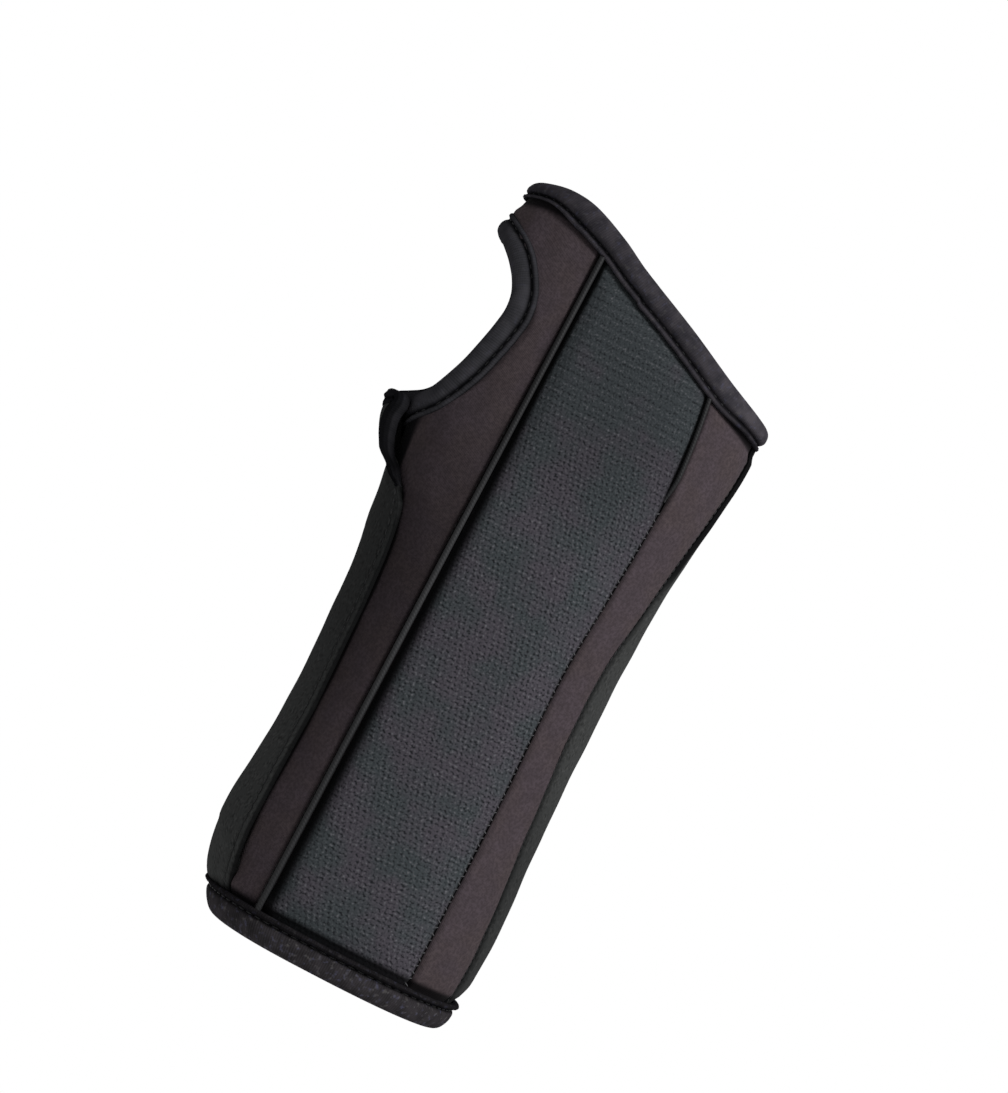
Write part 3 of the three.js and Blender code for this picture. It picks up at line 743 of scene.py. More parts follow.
def finger_edges(angle, z, from_palm, from_back, from_forearm, from_hand):
    seam = groove(from_palm, 0, 0.8 * MM, 0.7 * MM) + groove(from_back, 0, 0.8 * MM, 0.9 * MM)
    taped = under_hems(from_forearm, from_hand)
    beside_welt = beside_the_welt(z)
    # The seams' dark lines are partly dark joint and partly painted shade.
    lines = dark_line(from_palm, 0, (0.3 + 0.5 * beside_welt) * MM) * dark_line(from_back, 0, 0.7 * MM)
    return seam + taped + ripple(angle, z, 0.14 * MM, 2.0), lines * hem_shade(from_forearm, from_hand)


finger_grid = side_panel(palm_edge_angle, SEAM_GAP, finger_angle, SEAM_GAP, 44, 260)
finger_cloth = sew_panel("little_finger_side_cloth", "little_finger_side_panel", finger_grid,
                         flat_lift, finger_edges, PANEL_WALL - CLEARANCE)

# %% [markdown]
# ## The thumb side
# This panel has the hardest outline: down one side the piping, down the other a stretch hidden under
# the flap, then the thumb hole, then the web above that hole. Its far side is one line through
# those three stretches, and each place on it has a partner height up the piping.

# %% Lay the thumb-side panel
thumb_hole_seat = inset(thumb_hole_line, EDGE_INSET)
piping_bottom, piping_top = seam_ends(piping_angle)
hole_start, web_start = thumb_hole_seat[0], thumb_hole_seat[-1]
partner_start = 0.8 * hole_start[1]
partner_end = 0.97 * piping_top
closing_bottom = float(seat_height(forearm_seat, closing_angle(-FOREARM)))
web_top = float(seat_height(hand_seat, web_start[0]))
UNDER_ROWS = 110
WEB_ROWS = 18


def mapped(value, low, high, new_low, new_high):
    return new_low + (value - low) / (high - low) * (new_high - new_low)


def joined(*lines):
    """Lines end to end, each starting where the one before it ends."""
    return np.vstack([lines[0], *[line[1:] for line in lines[1:]]])


def far_side(heights, angles, partners):
    return np.stack([girth_of(angles), heights, partners], axis=-1)


under_heights = np.linspace(closing_bottom, hole_start[1], UNDER_ROWS + 1)
to_seat = smooth(0.8 * hole_start[1], hole_start[1], under_heights)
under_angles = underlap_angle(under_heights)
under_angles = under_angles + (hole_start[0] - under_angles) * to_seat
web_heights = np.linspace(web_start[1], web_top, WEB_ROWS + 1)
thumb_far = joined(
    far_side(under_heights, under_angles,
             mapped(under_heights, closing_bottom, hole_start[1], piping_bottom, partner_start)),
    far_side(thumb_hole_seat[:, 1], thumb_hole_seat[:, 0],
             np.linspace(partner_start, partner_end, HOLE_STATIONS + 1)),
    far_side(web_heights, np.full_like(web_heights, web_start[0]),
             mapped(web_heights, web_start[1], web_top, partner_end, piping_top)),
)
THUMB_COLUMNS = 74
thumb_s = spread(THUMB_COLUMNS)
thumb_v = np.linspace(0, 1, len(thumb_far))
thumb_near = seam_line(piping_angle, -PIPING_GAP, thumb_far[:, 2])
thumb_grid = fill_between(thumb_far[:, :2], thumb_near, thumb_s, thumb_v)
beside_hole = smooth(UNDER_ROWS - 8, UNDER_ROWS + 4, np.arange(len(thumb_far)))[:, None]


def beside_flap(angle, z):
    """Painted shade on the panel under the flap, along its closing edge and in the hollow behind its corner.
    """
    in_front = (angle - flap_front_angle(z)) * DEGREE_LENGTH
    covered = smooth(-0.3 * MM, 0.5 * MM, in_front)
    reach = (1.5 + 7.5 * smooth(LIP_FOOT, LIP_TOP, z)) * MM
    hollow = smooth(LIP_FOOT - 2 * MM, LIP_FOOT + 4 * MM, z) * (1 - smooth(0.35 * reach, reach, in_front))
    along = 1 - smooth(LIP_TOP, LIP_TOP + 5 * MM, z)
    return 1 - along * (1 - (0.12 + 0.88 * covered) * (1 - 0.96 * hollow))


def thumb_edges(angle, z, from_far, from_piping, from_forearm, from_hand):
    hole_tape = under_tape(from_far, HOLE_TAPE, 0.6 * MM) * beside_hole
    seam = groove(from_piping, 0.3 * MM, 0.8 * MM, 1.1 * MM)
    taped = under_hems(from_forearm, from_hand)
    # Painted shade: the cloth goes dark under the hole's tape, a painted shadow runs along the piping, and
    # the panel is darker round the wrist's height.
    at_hole = 0.1 + 0.9 * smooth(HOLE_TAPE - 1.8 * MM, HOLE_TAPE - 0.5 * MM, from_far)
    lines = dark_line(from_piping, 0.2 * MM, 0.75 * MM) * (1 - beside_hole + beside_hole * at_hole)
    painted_wrist_shade = 1 - 0.4 * bell(z, 5 * MM, 42 * MM)
    tone = lines * painted_wrist_shade * beside_flap(angle, z) * hem_shade(from_forearm, from_hand)
    return hole_tape + seam + taped + ripple(angle, z, 0.16 * MM, 3.0), tone


thumb_cloth = sew_panel("thumb_side_cloth", "thumb_side_panel", thumb_grid,
                        thumb_panel_lift, thumb_edges, PANEL_WALL - CLEARANCE, from_far_side=True)

# %% [markdown]
# ## The back flap
# One wide piece of brushed cloth covers the back. It starts at the little-finger seam, and its free
# edge closes on the thumb side, where a row of stitches runs two millimetres from the cut edge.

# %% Lay the back flap
LIP_CORNER_STATION = 66
WEB_TURN_STATION = 172
FLAP_TUCK = 0.35 * MM
flap_seat = inset(flap_edge_line, EDGE_INSET * flap_fullness[:, None])[::-1]
front_seat, web_seat = flap_seat[0], flap_seat[-1]
finger_bottom, finger_top = seam_ends(finger_angle)
flap_web_top = float(seat_height(hand_seat, web_seat[0]))
finger_start, finger_end = -2 * MM, 0.985 * finger_top
flap_partners = np.interp(
    np.arange(HOLE_STATIONS + 1),
    [0, LIP_CORNER_STATION, WEB_TURN_STATION, HOLE_STATIONS],
    [finger_start, 8 * MM, 0.75 * finger_top, finger_end],
)
CLOSING_ROWS = 100
FLAP_WEB_ROWS = 10
BUTT_ANGLE = 0.6

closing_heights = np.linspace(closing_bottom, front_seat[1], CLOSING_ROWS + 1)
free_angles = flap_front_angle(closing_heights) - (1 - above_hem(closing_heights)) * BUTT_ANGLE + FULL_TURN
to_seat = smooth(front_seat[1] - 4 * MM, front_seat[1], closing_heights)
free_angles = free_angles + (front_seat[0] - free_angles) * to_seat
flap_web_heights = np.linspace(web_seat[1], flap_web_top, FLAP_WEB_ROWS + 1)
flap_far = joined(
    far_side(closing_heights, free_angles,
             mapped(closing_heights, closing_bottom, front_seat[1], finger_bottom, finger_start)),
    far_side(flap_seat[:, 1], flap_seat[:, 0], flap_partners),
    far_side(flap_web_heights, np.full_like(flap_web_heights, web_seat[0]),
             mapped(flap_web_heights, web_seat[1], flap_web_top, finger_end, finger_top)),
)
FLAP_COLUMNS = 120
flap_s = spread(FLAP_COLUMNS, 0.75)
flap_v = np.linspace(0, 1, len(flap_far))
flap_near = seam_line(finger_angle, -FLAP_TUCK, flap_far[:, 2])
flap_grid = fill_between(flap_near, flap_far[:, :2], flap_s, flap_v)
flap_rows = np.arange(len(flap_far))[:, None]
beside_flap_tape = smooth(CLOSING_ROWS - 4, CLOSING_ROWS + 3, flap_rows)
free_cut = 1 - smooth(CLOSING_ROWS - 10, CLOSING_ROWS, flap_rows)


def flap_edges(angle, z, from_finger, from_free, from_forearm, from_hand):
    tape = under_tape(from_free, FLAP_TAPE, 0.35 * MM) * beside_flap_tape
    cut = groove(from_free, 0, 0.5 * MM, 0.35 * MM) + groove(from_free, CLOSING_ROW_SET, 0.35 * MM, 0.2 * MM)
    cut = cut * free_cut
    seam = groove(from_finger, 0, 0.8 * MM, 0.9 * MM)
    taped = under_hems(from_forearm, from_hand)
    # Painted shade: the cut edge, its stitch row and the finger seam are dark lines, partly dark joint and
    # partly painted shade. The flap is also painted darker on its thumb side, beside the finger seam near
    # the top, and beside that seam low down.
    edge = dark_line(from_free, 0, 0.45 * MM) * dark_line(from_free, CLOSING_ROW_SET, 0.3 * MM, 0.5)
    lines = (1 - free_cut + free_cut * edge) * dark_line(from_finger, 0, 0.6 * MM)
    shadow = 0.9 * smooth(26 * MM, 38 * MM, z) * (1 - smooth(1.4 * MM, 2.6 * MM, from_finger))
    thumb_side_shade = 1 - 0.45 * smooth(-60 * MM, 5 * MM, z) * smooth(200, 255, angle)
    turned_away_shade = 1 - 0.3 * smooth(20 * MM, 50 * MM, -z) * (1 - smooth(8 * MM, 20 * MM, from_finger))
    tone = lines * (1 - shadow) * thumb_side_shade * turned_away_shade * hem_shade(from_forearm, from_hand)
    return tape + cut + seam + taped + ripple(angle, z, 0.15 * MM, 4.0), tone


flap_cloth = sew_panel("back_flap_cloth", "back_flap", flap_grid,
                       flap_lift, flap_edges, FLAP_WALL - 0.2 * MM)

# %% [markdown]
# ## The binding tapes
# A tape is folded in half over the edge and sewn down with one row of stitches. The stitches pull a
# groove into it, and leave a thin ridge of tape beyond them. So its cross-section is a short list of
# points from its hidden edge inside, over the fold, to its seen edge outside. The section follows
# the surface along the edge, and between the stitches the groove opens a little.

# %% Sew on the tapes
TAPE_WALL = 0.6 * MM
STITCH_PITCH = 2.7 * MM


def hidden_side(w, inside, full=0.0):
    """The inner half of a folded tape, from its hidden edge to the fold, in millimetres."""
    return [
        (-w + 0.6, inside - 0.9),
        (-0.6 * w, inside - 1.1),
        (-1.6, inside - 1.25),
        (-0.5 + full, inside - 0.85),
        (-0.02 + full, 0.45 * inside),
        (-0.25 + full, 0.75),
    ]


def tape_section(width, wall, crown=1.75, ridge=1.0, full=0.0, groove=0.1):
    """Points towards the free edge and outward, from the inner edge over the fold to the seen edge."""
    w, inside = width / MM, -wall / MM
    points = [
        *hidden_side(w, inside, full),
        (-0.9 + 0.8 * full, crown - 0.3),
        (-2.0 + 0.5 * full, crown),
        (-0.52 * w, crown - 0.2),
        (-w + 2.4, 1.0),
        (-w + 1.55, groove),
        (-w + 1.05, 0.5 * (groove + ridge)),
        (-w + 0.6, ridge),
        (-w + 0.2, ridge - 0.15),
        (-w - 0.1, 0.35),
        (-w - 0.15, -0.35),
    ]
    return [(x * MM, out * MM) for x, out in points]


def beaded_section(width, wall):
    """A tape with a thick stitched bead beyond its groove."""
    w, inside = width / MM, -wall / MM
    points = [
        *hidden_side(w, inside),
        (-0.9, 1.4),
        (-2.2, 1.75),
        (-0.6 * w, 1.8),
        (-w + 1.2, 1.4),
        (-w + 0.3, 0.4),
        (-w - 0.05, 0.8),
        (-w - 0.35, 1.6),
        (-w - 0.85, 1.8),
        (-w - 1.35, 1.2),
        (-w - 1.5, -0.3),
    ]
    return [(x * MM, out * MM) for x, out in points]


def tape_points(line, profile, lift, loop, groove_at,
                turns=44, fullness=1.0, shade=1.0, face_tone=1.0, ridge_tone=1.0):
    """Lays a profile along a line. Returns the points and their tone of painted shade, dark in the stitched
    groove.
    """
    profile = smooth_line(profile, turns)
    way = edgeways(line, loop)[:, None]
    full = np.broadcast_to(fullness, len(line))[:, None]
    shade = np.broadcast_to(shade, len(line))[:, None]
    ridge_tone = np.broadcast_to(ridge_tone, len(line))[:, None]
    toward, out = profile[:, 0] * full, profile[:, 1] * smooth(-0.3, 0.6, full)
    angle = line[:, None, 0] + toward * way[..., 0]
    z = line[:, None, 1] + toward * way[..., 1]
    edge = raised(line[:, 0], line[:, 1], 0 * line[:, 0])
    along = lengths(edge[:, None], 0)
    whole = max(round(float(along.max()) / STITCH_PITCH), 1)
    pull = np.cos(2 * np.pi * whole * along / along.max())
    from_groove = toward + groove_at * full
    seen = (out > -0.2 * MM) * bell(from_groove, 0, 1.6 * MM)
    points = raised(angle, z, lift(angle, z) + out + 0.1 * MM * pull * seen)
    # Painted shade: dark in the stitched groove and where the tape dips below the cloth. The shade, face and
    # ridge tones darken a station, the tape's face and the ridge beyond the groove, as each tape asks.
    outside = smooth(0, 0.1 * MM, out)
    line_tone = 1 - 0.85 * bell(from_groove, 0, 0.55 * MM) * outside
    sunk = smooth(-0.2 * MM, 0.75 * MM, out) + (toward > -1.5 * MM)
    tone = line_tone * (0.15 + 0.85 * np.clip(sunk, 0, 1))
    face = shade * (1 - (1 - face_tone) * smooth(-1.0 * MM, -0.3 * MM, out))
    beyond = 1 - (1 - ridge_tone) * smooth(0, 0.6 * MM, -from_groove) * outside
    return points, np.clip(tone * face * beyond, 0, 1)


def sew_tape(name, node, line, profile, lift, loop, groove_at, **looks):
    """The looks are the fullness and the tones that tape_points takes, one value or one a station."""
    laid = tape_points(line, profile, lift, loop, groove_at, **looks)
    tape = lay_cloth(name, *laid)
    if loop:
        close_loop(tape)
    thicken(tape, TAPE_WALL, 60)
    declare_cloth(tape, node)
    return tape


hand_tape = sew_tape(
    "hand_hem_tape", "hand_hem_binding", hand_hem_line, tape_section(HEM_WIDTH, PANEL_WALL, full=0.8),
    flat_lift, True, HEM_WIDTH - GROOVE_SET, fullness=hand_fullness,
    # Painted light and shade: the tape is darker towards the thumb side and lighter towards the
    # little-finger side, and its ridge is painted darker towards the little-finger side, in the band's
    # shade.
    shade=0.75 + 0.25 * smooth(0.4, 0.85, hem_across),
    ridge_tone=1 - 0.45 * smooth(0.55, 0.8, hem_across),
)
forearm_tape = sew_tape(
    "forearm_hem_tape", "forearm_hem_binding", forearm_hem_line, beaded_section(HEM_WIDTH, PANEL_WALL),
    flat_lift, True, HEM_WIDTH - CLEARANCE, ridge_tone=0.35,
)
from_hidden_foot = lengths(raised(*thumb_hole_line.T, 0 * thumb_hole_line[:, 0])[:, None], 0)[:, 0]
hole_tape = sew_tape(
    "thumb_hole_tape", "thumb_hole_binding", thumb_hole_line, tape_section(HOLE_TAPE, PANEL_WALL, ridge=0.8),
    thumb_panel_lift, False, HOLE_TAPE - GROOVE_SET,
    # Painted shade: the tape is dark near its hidden foot, in the hollow behind the flap's corner.
    shade=0.1 + 0.9 * smooth(4 * MM, 12 * MM, from_hidden_foot),
)
# Painted shade: the tape's seen face is dark, and darker still round the lip's corner.
lip_corner_shade = smooth(3 * MM, 7 * MM, from_tail) * (1 - smooth(24 * MM, 30 * MM, from_tail))
flap_tape = sew_tape(
    "flap_edge_tape", "flap_edge_binding", flap_edge_line,
    tape_section(FLAP_TAPE, FLAP_WALL, 1.15, 0.5, groove=0.45),
    flap_lift, False, FLAP_TAPE - GROOVE_SET,
    fullness=flap_tape_fullness, shade=1 - 0.45 * lip_corner_shade, face_tone=0.3,
)

# %% [markdown]
# ## The piping and the welt
# Piping is a cord wrapped in a narrow strip of cloth, and the strip's two edges are let into the
# seam. Its cross-section is an open loop, swept up the seam in the same way as the tapes.

# %% Set in the piping and the welt


def piping_section(radius, centre, root):
    turns = np.radians(np.linspace(-60, 240, 11))
    ring = [(radius * math.cos(t), centre + radius * math.sin(t)) for t in turns]
    return [(0.3 * MM, -root), (0.3 * MM, centre - 1.1 * radius), *ring,
            (-0.3 * MM, centre - 1.1 * radius), (-0.3 * MM, -root)]


def set_piping(name, node, seam_angle, low, high, radius, centre, root, count, sunk_over=0.0):
    """The strip can sink into the seam over its last stretch at the foot."""
    heights = np.linspace(high, low, count + 1)
    line = np.stack([seam_angle(heights), heights], axis=-1)

    def sinking(angle, z):
        return -1.6 * MM * (1 - smooth(low, low + sunk_over, z)) if sunk_over else 0 * z

    points = tape_points(line, piping_section(radius, centre, root), sinking, False, 1.0, 36)[0]
    # Painted shade: the strip is darker towards its top and towards the forearm.
    tone = (0.4 + 0.6 * (1 - smooth(5 * MM, 60 * MM, heights))) * (1 - 0.35 * smooth(0, 45 * MM, -heights))
    tone = tone[:, None] + 0 * points[..., 0]
    strip = lay_cloth(name, points, tone)
    thicken(strip, 0.3 * MM, 60)
    declare_cloth(strip, node)
    return strip


piping_foot = -FOREARM + HEM_WIDTH + 1.0 * MM
piping = set_piping("piping_strip", "panel_piping", piping_angle, piping_foot, hem_foot(piping_angle),
                    0.75 * MM, 0.4 * MM, 1.9 * MM, 300)
welt = set_piping("edge_welt_strip", "panel_edge_welt", palm_edge_angle, welt_foot, welt_top,
                  0.6 * MM, 0.15 * MM, 1.6 * MM, 60, 8 * MM)

# %% [markdown]
# ## Finishes
# All of this cloth is nearly black, so what tells one cloth from another is its texture and how it
# takes the light. Each finish is built from nodes that read the cloth's own UV map, in metres, so
# one knitted loop is as large as a real one. A plain grey would look like plastic.

# %% Helpers for finishes


class Finish:
    """A new cloth material with a few words for joining nodes."""

    def __init__(self, name, roughness, sheen=0.1, sheen_roughness=0.5, specular=0.2):
        self.material = bpy.data.materials.new(name)
        self.material.use_nodes = True
        self.tree = self.material.node_tree
        self.shader = self.tree.nodes["Principled BSDF"]
        self.shader.inputs["Roughness"].default_value = roughness
        self.shader.inputs["Sheen Weight"].default_value = sheen
        self.shader.inputs["Sheen Roughness"].default_value = sheen_roughness
        self.shader.inputs["Specular IOR Level"].default_value = specular
        uv = self.tree.nodes.new("ShaderNodeUVMap")
        uv.uv_map = "UVMap"
        split = self.tree.nodes.new("ShaderNodeSeparateXYZ")
        self.tree.links.new(uv.outputs["UV"], split.inputs[0])
        self.uv, self.u, self.v = uv.outputs["UV"], split.outputs["X"], split.outputs["Y"]

    def put(self, value, socket):
        if isinstance(value, bpy.types.NodeSocket):
            self.tree.links.new(value, socket)
        else:
            socket.default_value = value

    def calc(self, operation, *values):
        node = self.tree.nodes.new("ShaderNodeMath")
        node.operation = operation
        for value, socket in zip(values, node.inputs):
            self.put(value, socket)
        return node.outputs[0]

    def times(self, first, second):
        return self.calc("MULTIPLY", first, second)

    def plus(self, first, second):
        return self.calc("ADD", first, second)

    def minus(self, first, second):
        return self.calc("SUBTRACT", first, second)

    def scaled(self, value, factor, offset):
        """The value times the factor, plus the offset."""
        return self.calc("MULTIPLY_ADD", value, factor, offset)

    def wave(self, along, pitch, phase=0.0):
        """Between 0 and 1, once for every pitch in metres."""
        turns = self.scaled(along, 2 * math.pi / pitch, phase)
        return self.scaled(self.calc("SINE", turns), 0.5, 0.5)

    def noise(self, size, detail=3.0, stretch=(1, 1), shift=0.0):
        """Cloudy values from 0 to 1, whose clouds are about size metres wide."""
        place = self.tree.nodes.new("ShaderNodeMapping")
        place.inputs["Scale"].default_value = (stretch[0] / size, stretch[1] / size, 1)
        place.inputs["Location"].default_value = (shift, shift, shift)
        self.tree.links.new(self.uv, place.inputs["Vector"])
        node = self.tree.nodes.new("ShaderNodeTexNoise")
        node.inputs["Scale"].default_value = 1.0
        node.inputs["Detail"].default_value = detail
        self.tree.links.new(place.outputs[0], node.inputs["Vector"])
        return node.outputs["Fac"]

    def lottery(self, first, second):
        """A value from 0 to 1 that is different for each pair of whole numbers."""
        pair = self.tree.nodes.new("ShaderNodeCombineXYZ")
        self.put(first, pair.inputs["X"])
        self.put(second, pair.inputs["Y"])
        node = self.tree.nodes.new("ShaderNodeTexWhiteNoise")
        node.noise_dimensions = "2D"
        self.tree.links.new(pair.outputs[0], node.inputs["Vector"])
        return node.outputs["Value"]

    def mix(self, factor, first, second):
        node = self.tree.nodes.new("ShaderNodeMix")
        node.data_type = "RGBA"
        self.put(factor, node.inputs["Factor"])
        self.put((*first, 1) if isinstance(first, tuple) else first, node.inputs["A"])
        self.put((*second, 1) if isinstance(second, tuple) else second, node.inputs["B"])
        return node.outputs["Result"]

    def ramp(self, value, low, high):
        """Stretches a value so that low becomes 0 and high becomes 1."""
        node = self.tree.nodes.new("ShaderNodeMapRange")
        node.interpolation_type = "SMOOTHSTEP"
        self.put(value, node.inputs["Value"])
        node.inputs["From Min"].default_value = low
        node.inputs["From Max"].default_value = high
        return node.outputs["Result"]

    def bump(self, height, distance, strength=1.0):
        node = self.tree.nodes.new("ShaderNodeBump")
        node.inputs["Distance"].default_value = distance
        node.inputs["Strength"].default_value = strength
        self.put(height, node.inputs["Height"])
        self.tree.links.new(node.outputs["Normal"], self.shader.inputs["Normal"])

    def color(self, value):
        self.put((*value, 1) if isinstance(value, tuple) else value, self.shader.inputs["Base Color"])

    def color_with_seams_and_shade(self, value):
        """Colour that goes nearly black where the piece's tone of painted shade, over its seams' dark
        joints, is low.
        """
        tone = self.tree.nodes.new("ShaderNodeAttribute")
        tone.attribute_name = "seams_and_painted_shade"
        self.color(self.mix(tone.outputs["Fac"], (0.0025, 0.0025, 0.003), value))

    def on(self, *pieces):
        for piece in pieces:
            piece.data.materials.clear()
            piece.data.materials.append(self.material)
        print(f"{self.material.name} on:", ", ".join(piece.name for piece in pieces))


# %% [markdown]
# ### The palm knit
# Seen close, the knit is rows of raised loops across the panel, 1.33 mm apart, and every second row
# stands out a little. Along a row the loops come every 1.65 mm, and each row starts about a quarter
# of a loop further along, so dark gaps between loops line up on a slant. No two loops catch the same
# light, so each gets its own brightness by lot. Clouds of bluish and purplish dye lie under them.

# %% Palm knit
COURSE = 1.33 * MM
LOOP = 1.65 * MM
LOOP_SHIFT = 0.27

knit = Finish("palm knit", 0.85, sheen=0.03, specular=0.04)
wobble = knit.scaled(knit.noise(2.4 * MM, 2), 0.7 * MM, -0.35 * MM)
row = knit.calc("DIVIDE", knit.plus(knit.v, wobble), COURSE)
row_number = knit.calc("FLOOR", row)
along_row = knit.calc("DIVIDE", knit.plus(knit.u, wobble), LOOP)
loop = knit.scaled(row_number, LOOP_SHIFT, along_row)
loop_number = knit.calc("FLOOR", knit.times(loop, 2.0))
loop_wave = knit.wave(loop, 1.0)
row_wave = knit.wave(row, 1.0, -0.5 * math.pi)
second_row = knit.scaled(knit.calc("PINGPONG", row_number, 1.0), 0.3, 0.7)
own_light = knit.scaled(knit.lottery(loop_number, row_number), 1.1, 0.35)
own_dark = knit.scaled(knit.lottery(row_number, loop_number), 0.8, 0.5)
raised_loop = knit.times(knit.times(loop_wave, row_wave), second_row)
gap_wave = knit.times(knit.minus(1.0, loop_wave), knit.minus(1.0, row_wave))
near_top = knit.ramp(knit.v, 0.045, 0.075)
grid = knit.minus(1.0, knit.times(near_top, 0.65))
light = knit.times(knit.times(raised_loop, own_light), 0.2)
dark = knit.times(knit.times(gap_wave, own_dark), 0.4)
fuzz = knit.scaled(knit.noise(0.6 * MM, 2), 1.8, -0.9)
double_rows = knit.scaled(knit.wave(knit.v, 2.5 * MM), 0.22, -0.11)
pattern = knit.times(knit.minus(light, dark), grid)
double_rows = knit.times(double_rows, knit.scaled(near_top, 0.8, 0.2))
pattern = knit.plus(pattern, double_rows)
loop_light = knit.plus(knit.plus(pattern, fuzz), 0.5)
bluish, purplish = (0.042, 0.049, 0.053), (0.056, 0.051, 0.061)
dye_place = knit.scaled(near_top, -0.16, knit.noise(13 * MM, 3))
dye = knit.mix(knit.ramp(dye_place, 0.36, 0.62), bluish, purplish)
# Painted highlight on the raised loops and painted shade in the gaps between them, both weaker towards the
# panel's top.
lit = knit.mix(knit.ramp(loop_light, 0.55, 1.15), dye, (0.12, 0.12, 0.13))
knit.color_with_seams_and_shade(knit.mix(knit.ramp(loop_light, -0.05, 0.5), (0.012, 0.013, 0.015), lit))
knit.bump(knit.minus(raised_loop, gap_wave), 0.1 * MM, 0.5)
knit.on(palm_cloth)

# %% [markdown]
# ### The smooth cloth
# Rubber-backed cloth has a very fine jersey face, a warm black that has gone slightly brown and
# purple, with a faint mottle and a fine dark grain.

# %% Smooth cloth
WALE = 0.42 * MM
jersey = Finish("smooth jersey", 0.8, sheen=0.02, sheen_roughness=0.4, specular=0.03)
wale = jersey.wave(jersey.u, WALE)
stitch = jersey.wave(jersey.scaled(wale, 0.15 * MM, jersey.v), 0.36 * MM)
face = jersey.scaled(stitch, 0.4, jersey.times(wale, 0.6))
mottle = jersey.ramp(jersey.noise(4 * MM, 4), 0.3, 0.7)
brown = jersey.mix(mottle, (0.045, 0.0345, 0.036), (0.058, 0.045, 0.047))
purple = jersey.mix(mottle, (0.044, 0.035, 0.041), (0.059, 0.046, 0.055))
warm = jersey.mix(jersey.ramp(jersey.noise(11 * MM, 2, shift=3.0), 0.35, 0.65), brown, purple)
grain = jersey.ramp(jersey.noise(0.9 * MM, 2, shift=7.0), 0.38, 0.62)
grainy = jersey.mix(jersey.times(grain, 0.55), warm, (0.020, 0.016, 0.018))
jersey.color_with_seams_and_shade(jersey.mix(jersey.times(face, 0.4), grainy, (0.095, 0.074, 0.080)))
pressed = jersey.scaled(jersey.noise(1.6 * MM, 3), 1.2, face)
jersey.bump(pressed, 0.06 * MM, 0.6)
jersey.on(finger_cloth, thumb_cloth)

# %% [markdown]
# ### The brushed back
# The closing flap is brushed loop cloth, a matt black with short fibres lying in all directions.

# %% Brushed cloth
brushed = Finish("brushed loops", 0.95, sheen=0.02, sheen_roughness=0.6, specular=0.0)
pile = brushed.noise(0.7 * MM, 4, (1, 0.6))
tufts = brushed.noise(2.6 * MM, 3)
pile_height = brushed.scaled(tufts, 0.5, pile)
nap = brushed.mix(brushed.ramp(pile, 0.3, 0.72), (0.018, 0.0188, 0.0185), (0.057, 0.058, 0.0575))
brushed.color_with_seams_and_shade(brushed.mix(brushed.ramp(tufts, 0.3, 0.7), nap, (0.037, 0.0384, 0.038)))
brushed.bump(pile_height, 0.2 * MM, 0.7)
brushed.on(flap_cloth)

# %% [markdown]
# ### The tapes and the piping
# Binding tape is woven with fine ribs across it. The hand hem's is mottled, and the forearm hem's
# is of a rougher kind, with light slubs in its yarn. The piping's strip is pulled tight over a
# cord, so it shines more.

# %% Tapes and piping
RIB = 0.62 * MM


def ribbed_tape(name, low, high, slubs):
    ribbed = Finish(name, 0.8, sheen=0.0, specular=0.0)
    rib = ribbed.wave(ribbed.v, RIB)
    weft = ribbed.wave(ribbed.u, 0.45 * MM)
    shade = ribbed.mix(ribbed.ramp(ribbed.noise(4 * MM, 3), 0.3, 0.7), low, high)
    woven = ribbed.mix(ribbed.times(rib, 0.25), shade, (0.045, 0.045, 0.050))
    specks = ribbed.ramp(ribbed.noise(1.3 * MM, 2, shift=5.0), 0.52, 0.7)
    patches = ribbed.ramp(ribbed.noise(2.4 * MM, 1, shift=9.0), 0.4, 0.6)
    tint = ribbed.mix(patches, (0.07, 0.07, 0.11), (0.085, 0.08, 0.08))
    ribbed.color_with_seams_and_shade(ribbed.mix(ribbed.times(specks, slubs), woven, tint))
    lumps = ribbed.times(ribbed.noise(1.6 * MM, 2), 1.5 * slubs)
    ribbed.bump(ribbed.plus(ribbed.scaled(weft, 0.35, rib), lumps), 0.08 * MM, 0.6)
    return ribbed


ribbed_tape("ribbed tape", (0.024, 0.024, 0.027), (0.036, 0.035, 0.040), 0.12).on(hole_tape, flap_tape)
ribbed_tape("mottled tape", (0.030, 0.028, 0.034), (0.060, 0.054, 0.062), 0.5).on(hand_tape)
ribbed_tape("slubbed tape", (0.018, 0.016, 0.017), (0.034, 0.030, 0.033), 0.65).on(forearm_tape)

cord_cloth = Finish("piping cloth", 0.6, sheen=0.0, specular=0.2)
twist = cord_cloth.wave(cord_cloth.scaled(cord_cloth.u, 0.6, cord_cloth.v), 0.9 * MM)
pulled = cord_cloth.mix(cord_cloth.noise(3 * MM, 3), (0.016, 0.017, 0.018), (0.032, 0.032, 0.034))
twisted = cord_cloth.mix(cord_cloth.times(twist, 0.3), pulled, (0.048, 0.048, 0.050))
cord_cloth.color_with_seams_and_shade(twisted)
cord_cloth.bump(twist, 0.08 * MM, 0.5)
cord_cloth.on(piping, welt)

# %% [markdown]
# ## Stitches
# One stitch is a short rounded thread. It is modelled once, repeated along a straight row by an
# Array modifier, and a Curve modifier bends the whole row onto its seam. Both are then applied.
# Beside the knit the stitches lean, each second one back, so there the array repeats a pair.

# %% Helpers for stitches


def spun(name, dark, light):
    yarn = Finish(name, 0.65, sheen=0.05, specular=0.25)
    ply = yarn.wave(yarn.scaled(yarn.u, 2.0, yarn.v), 0.3)
    yarn.color(yarn.mix(ply, dark, light))
    return yarn


thread = spun("thread", (0.008, 0.008, 0.009), (0.016, 0.016, 0.017))
pale_thread = spun("pale thread", (0.04, 0.04, 0.043), (0.085, 0.085, 0.09))


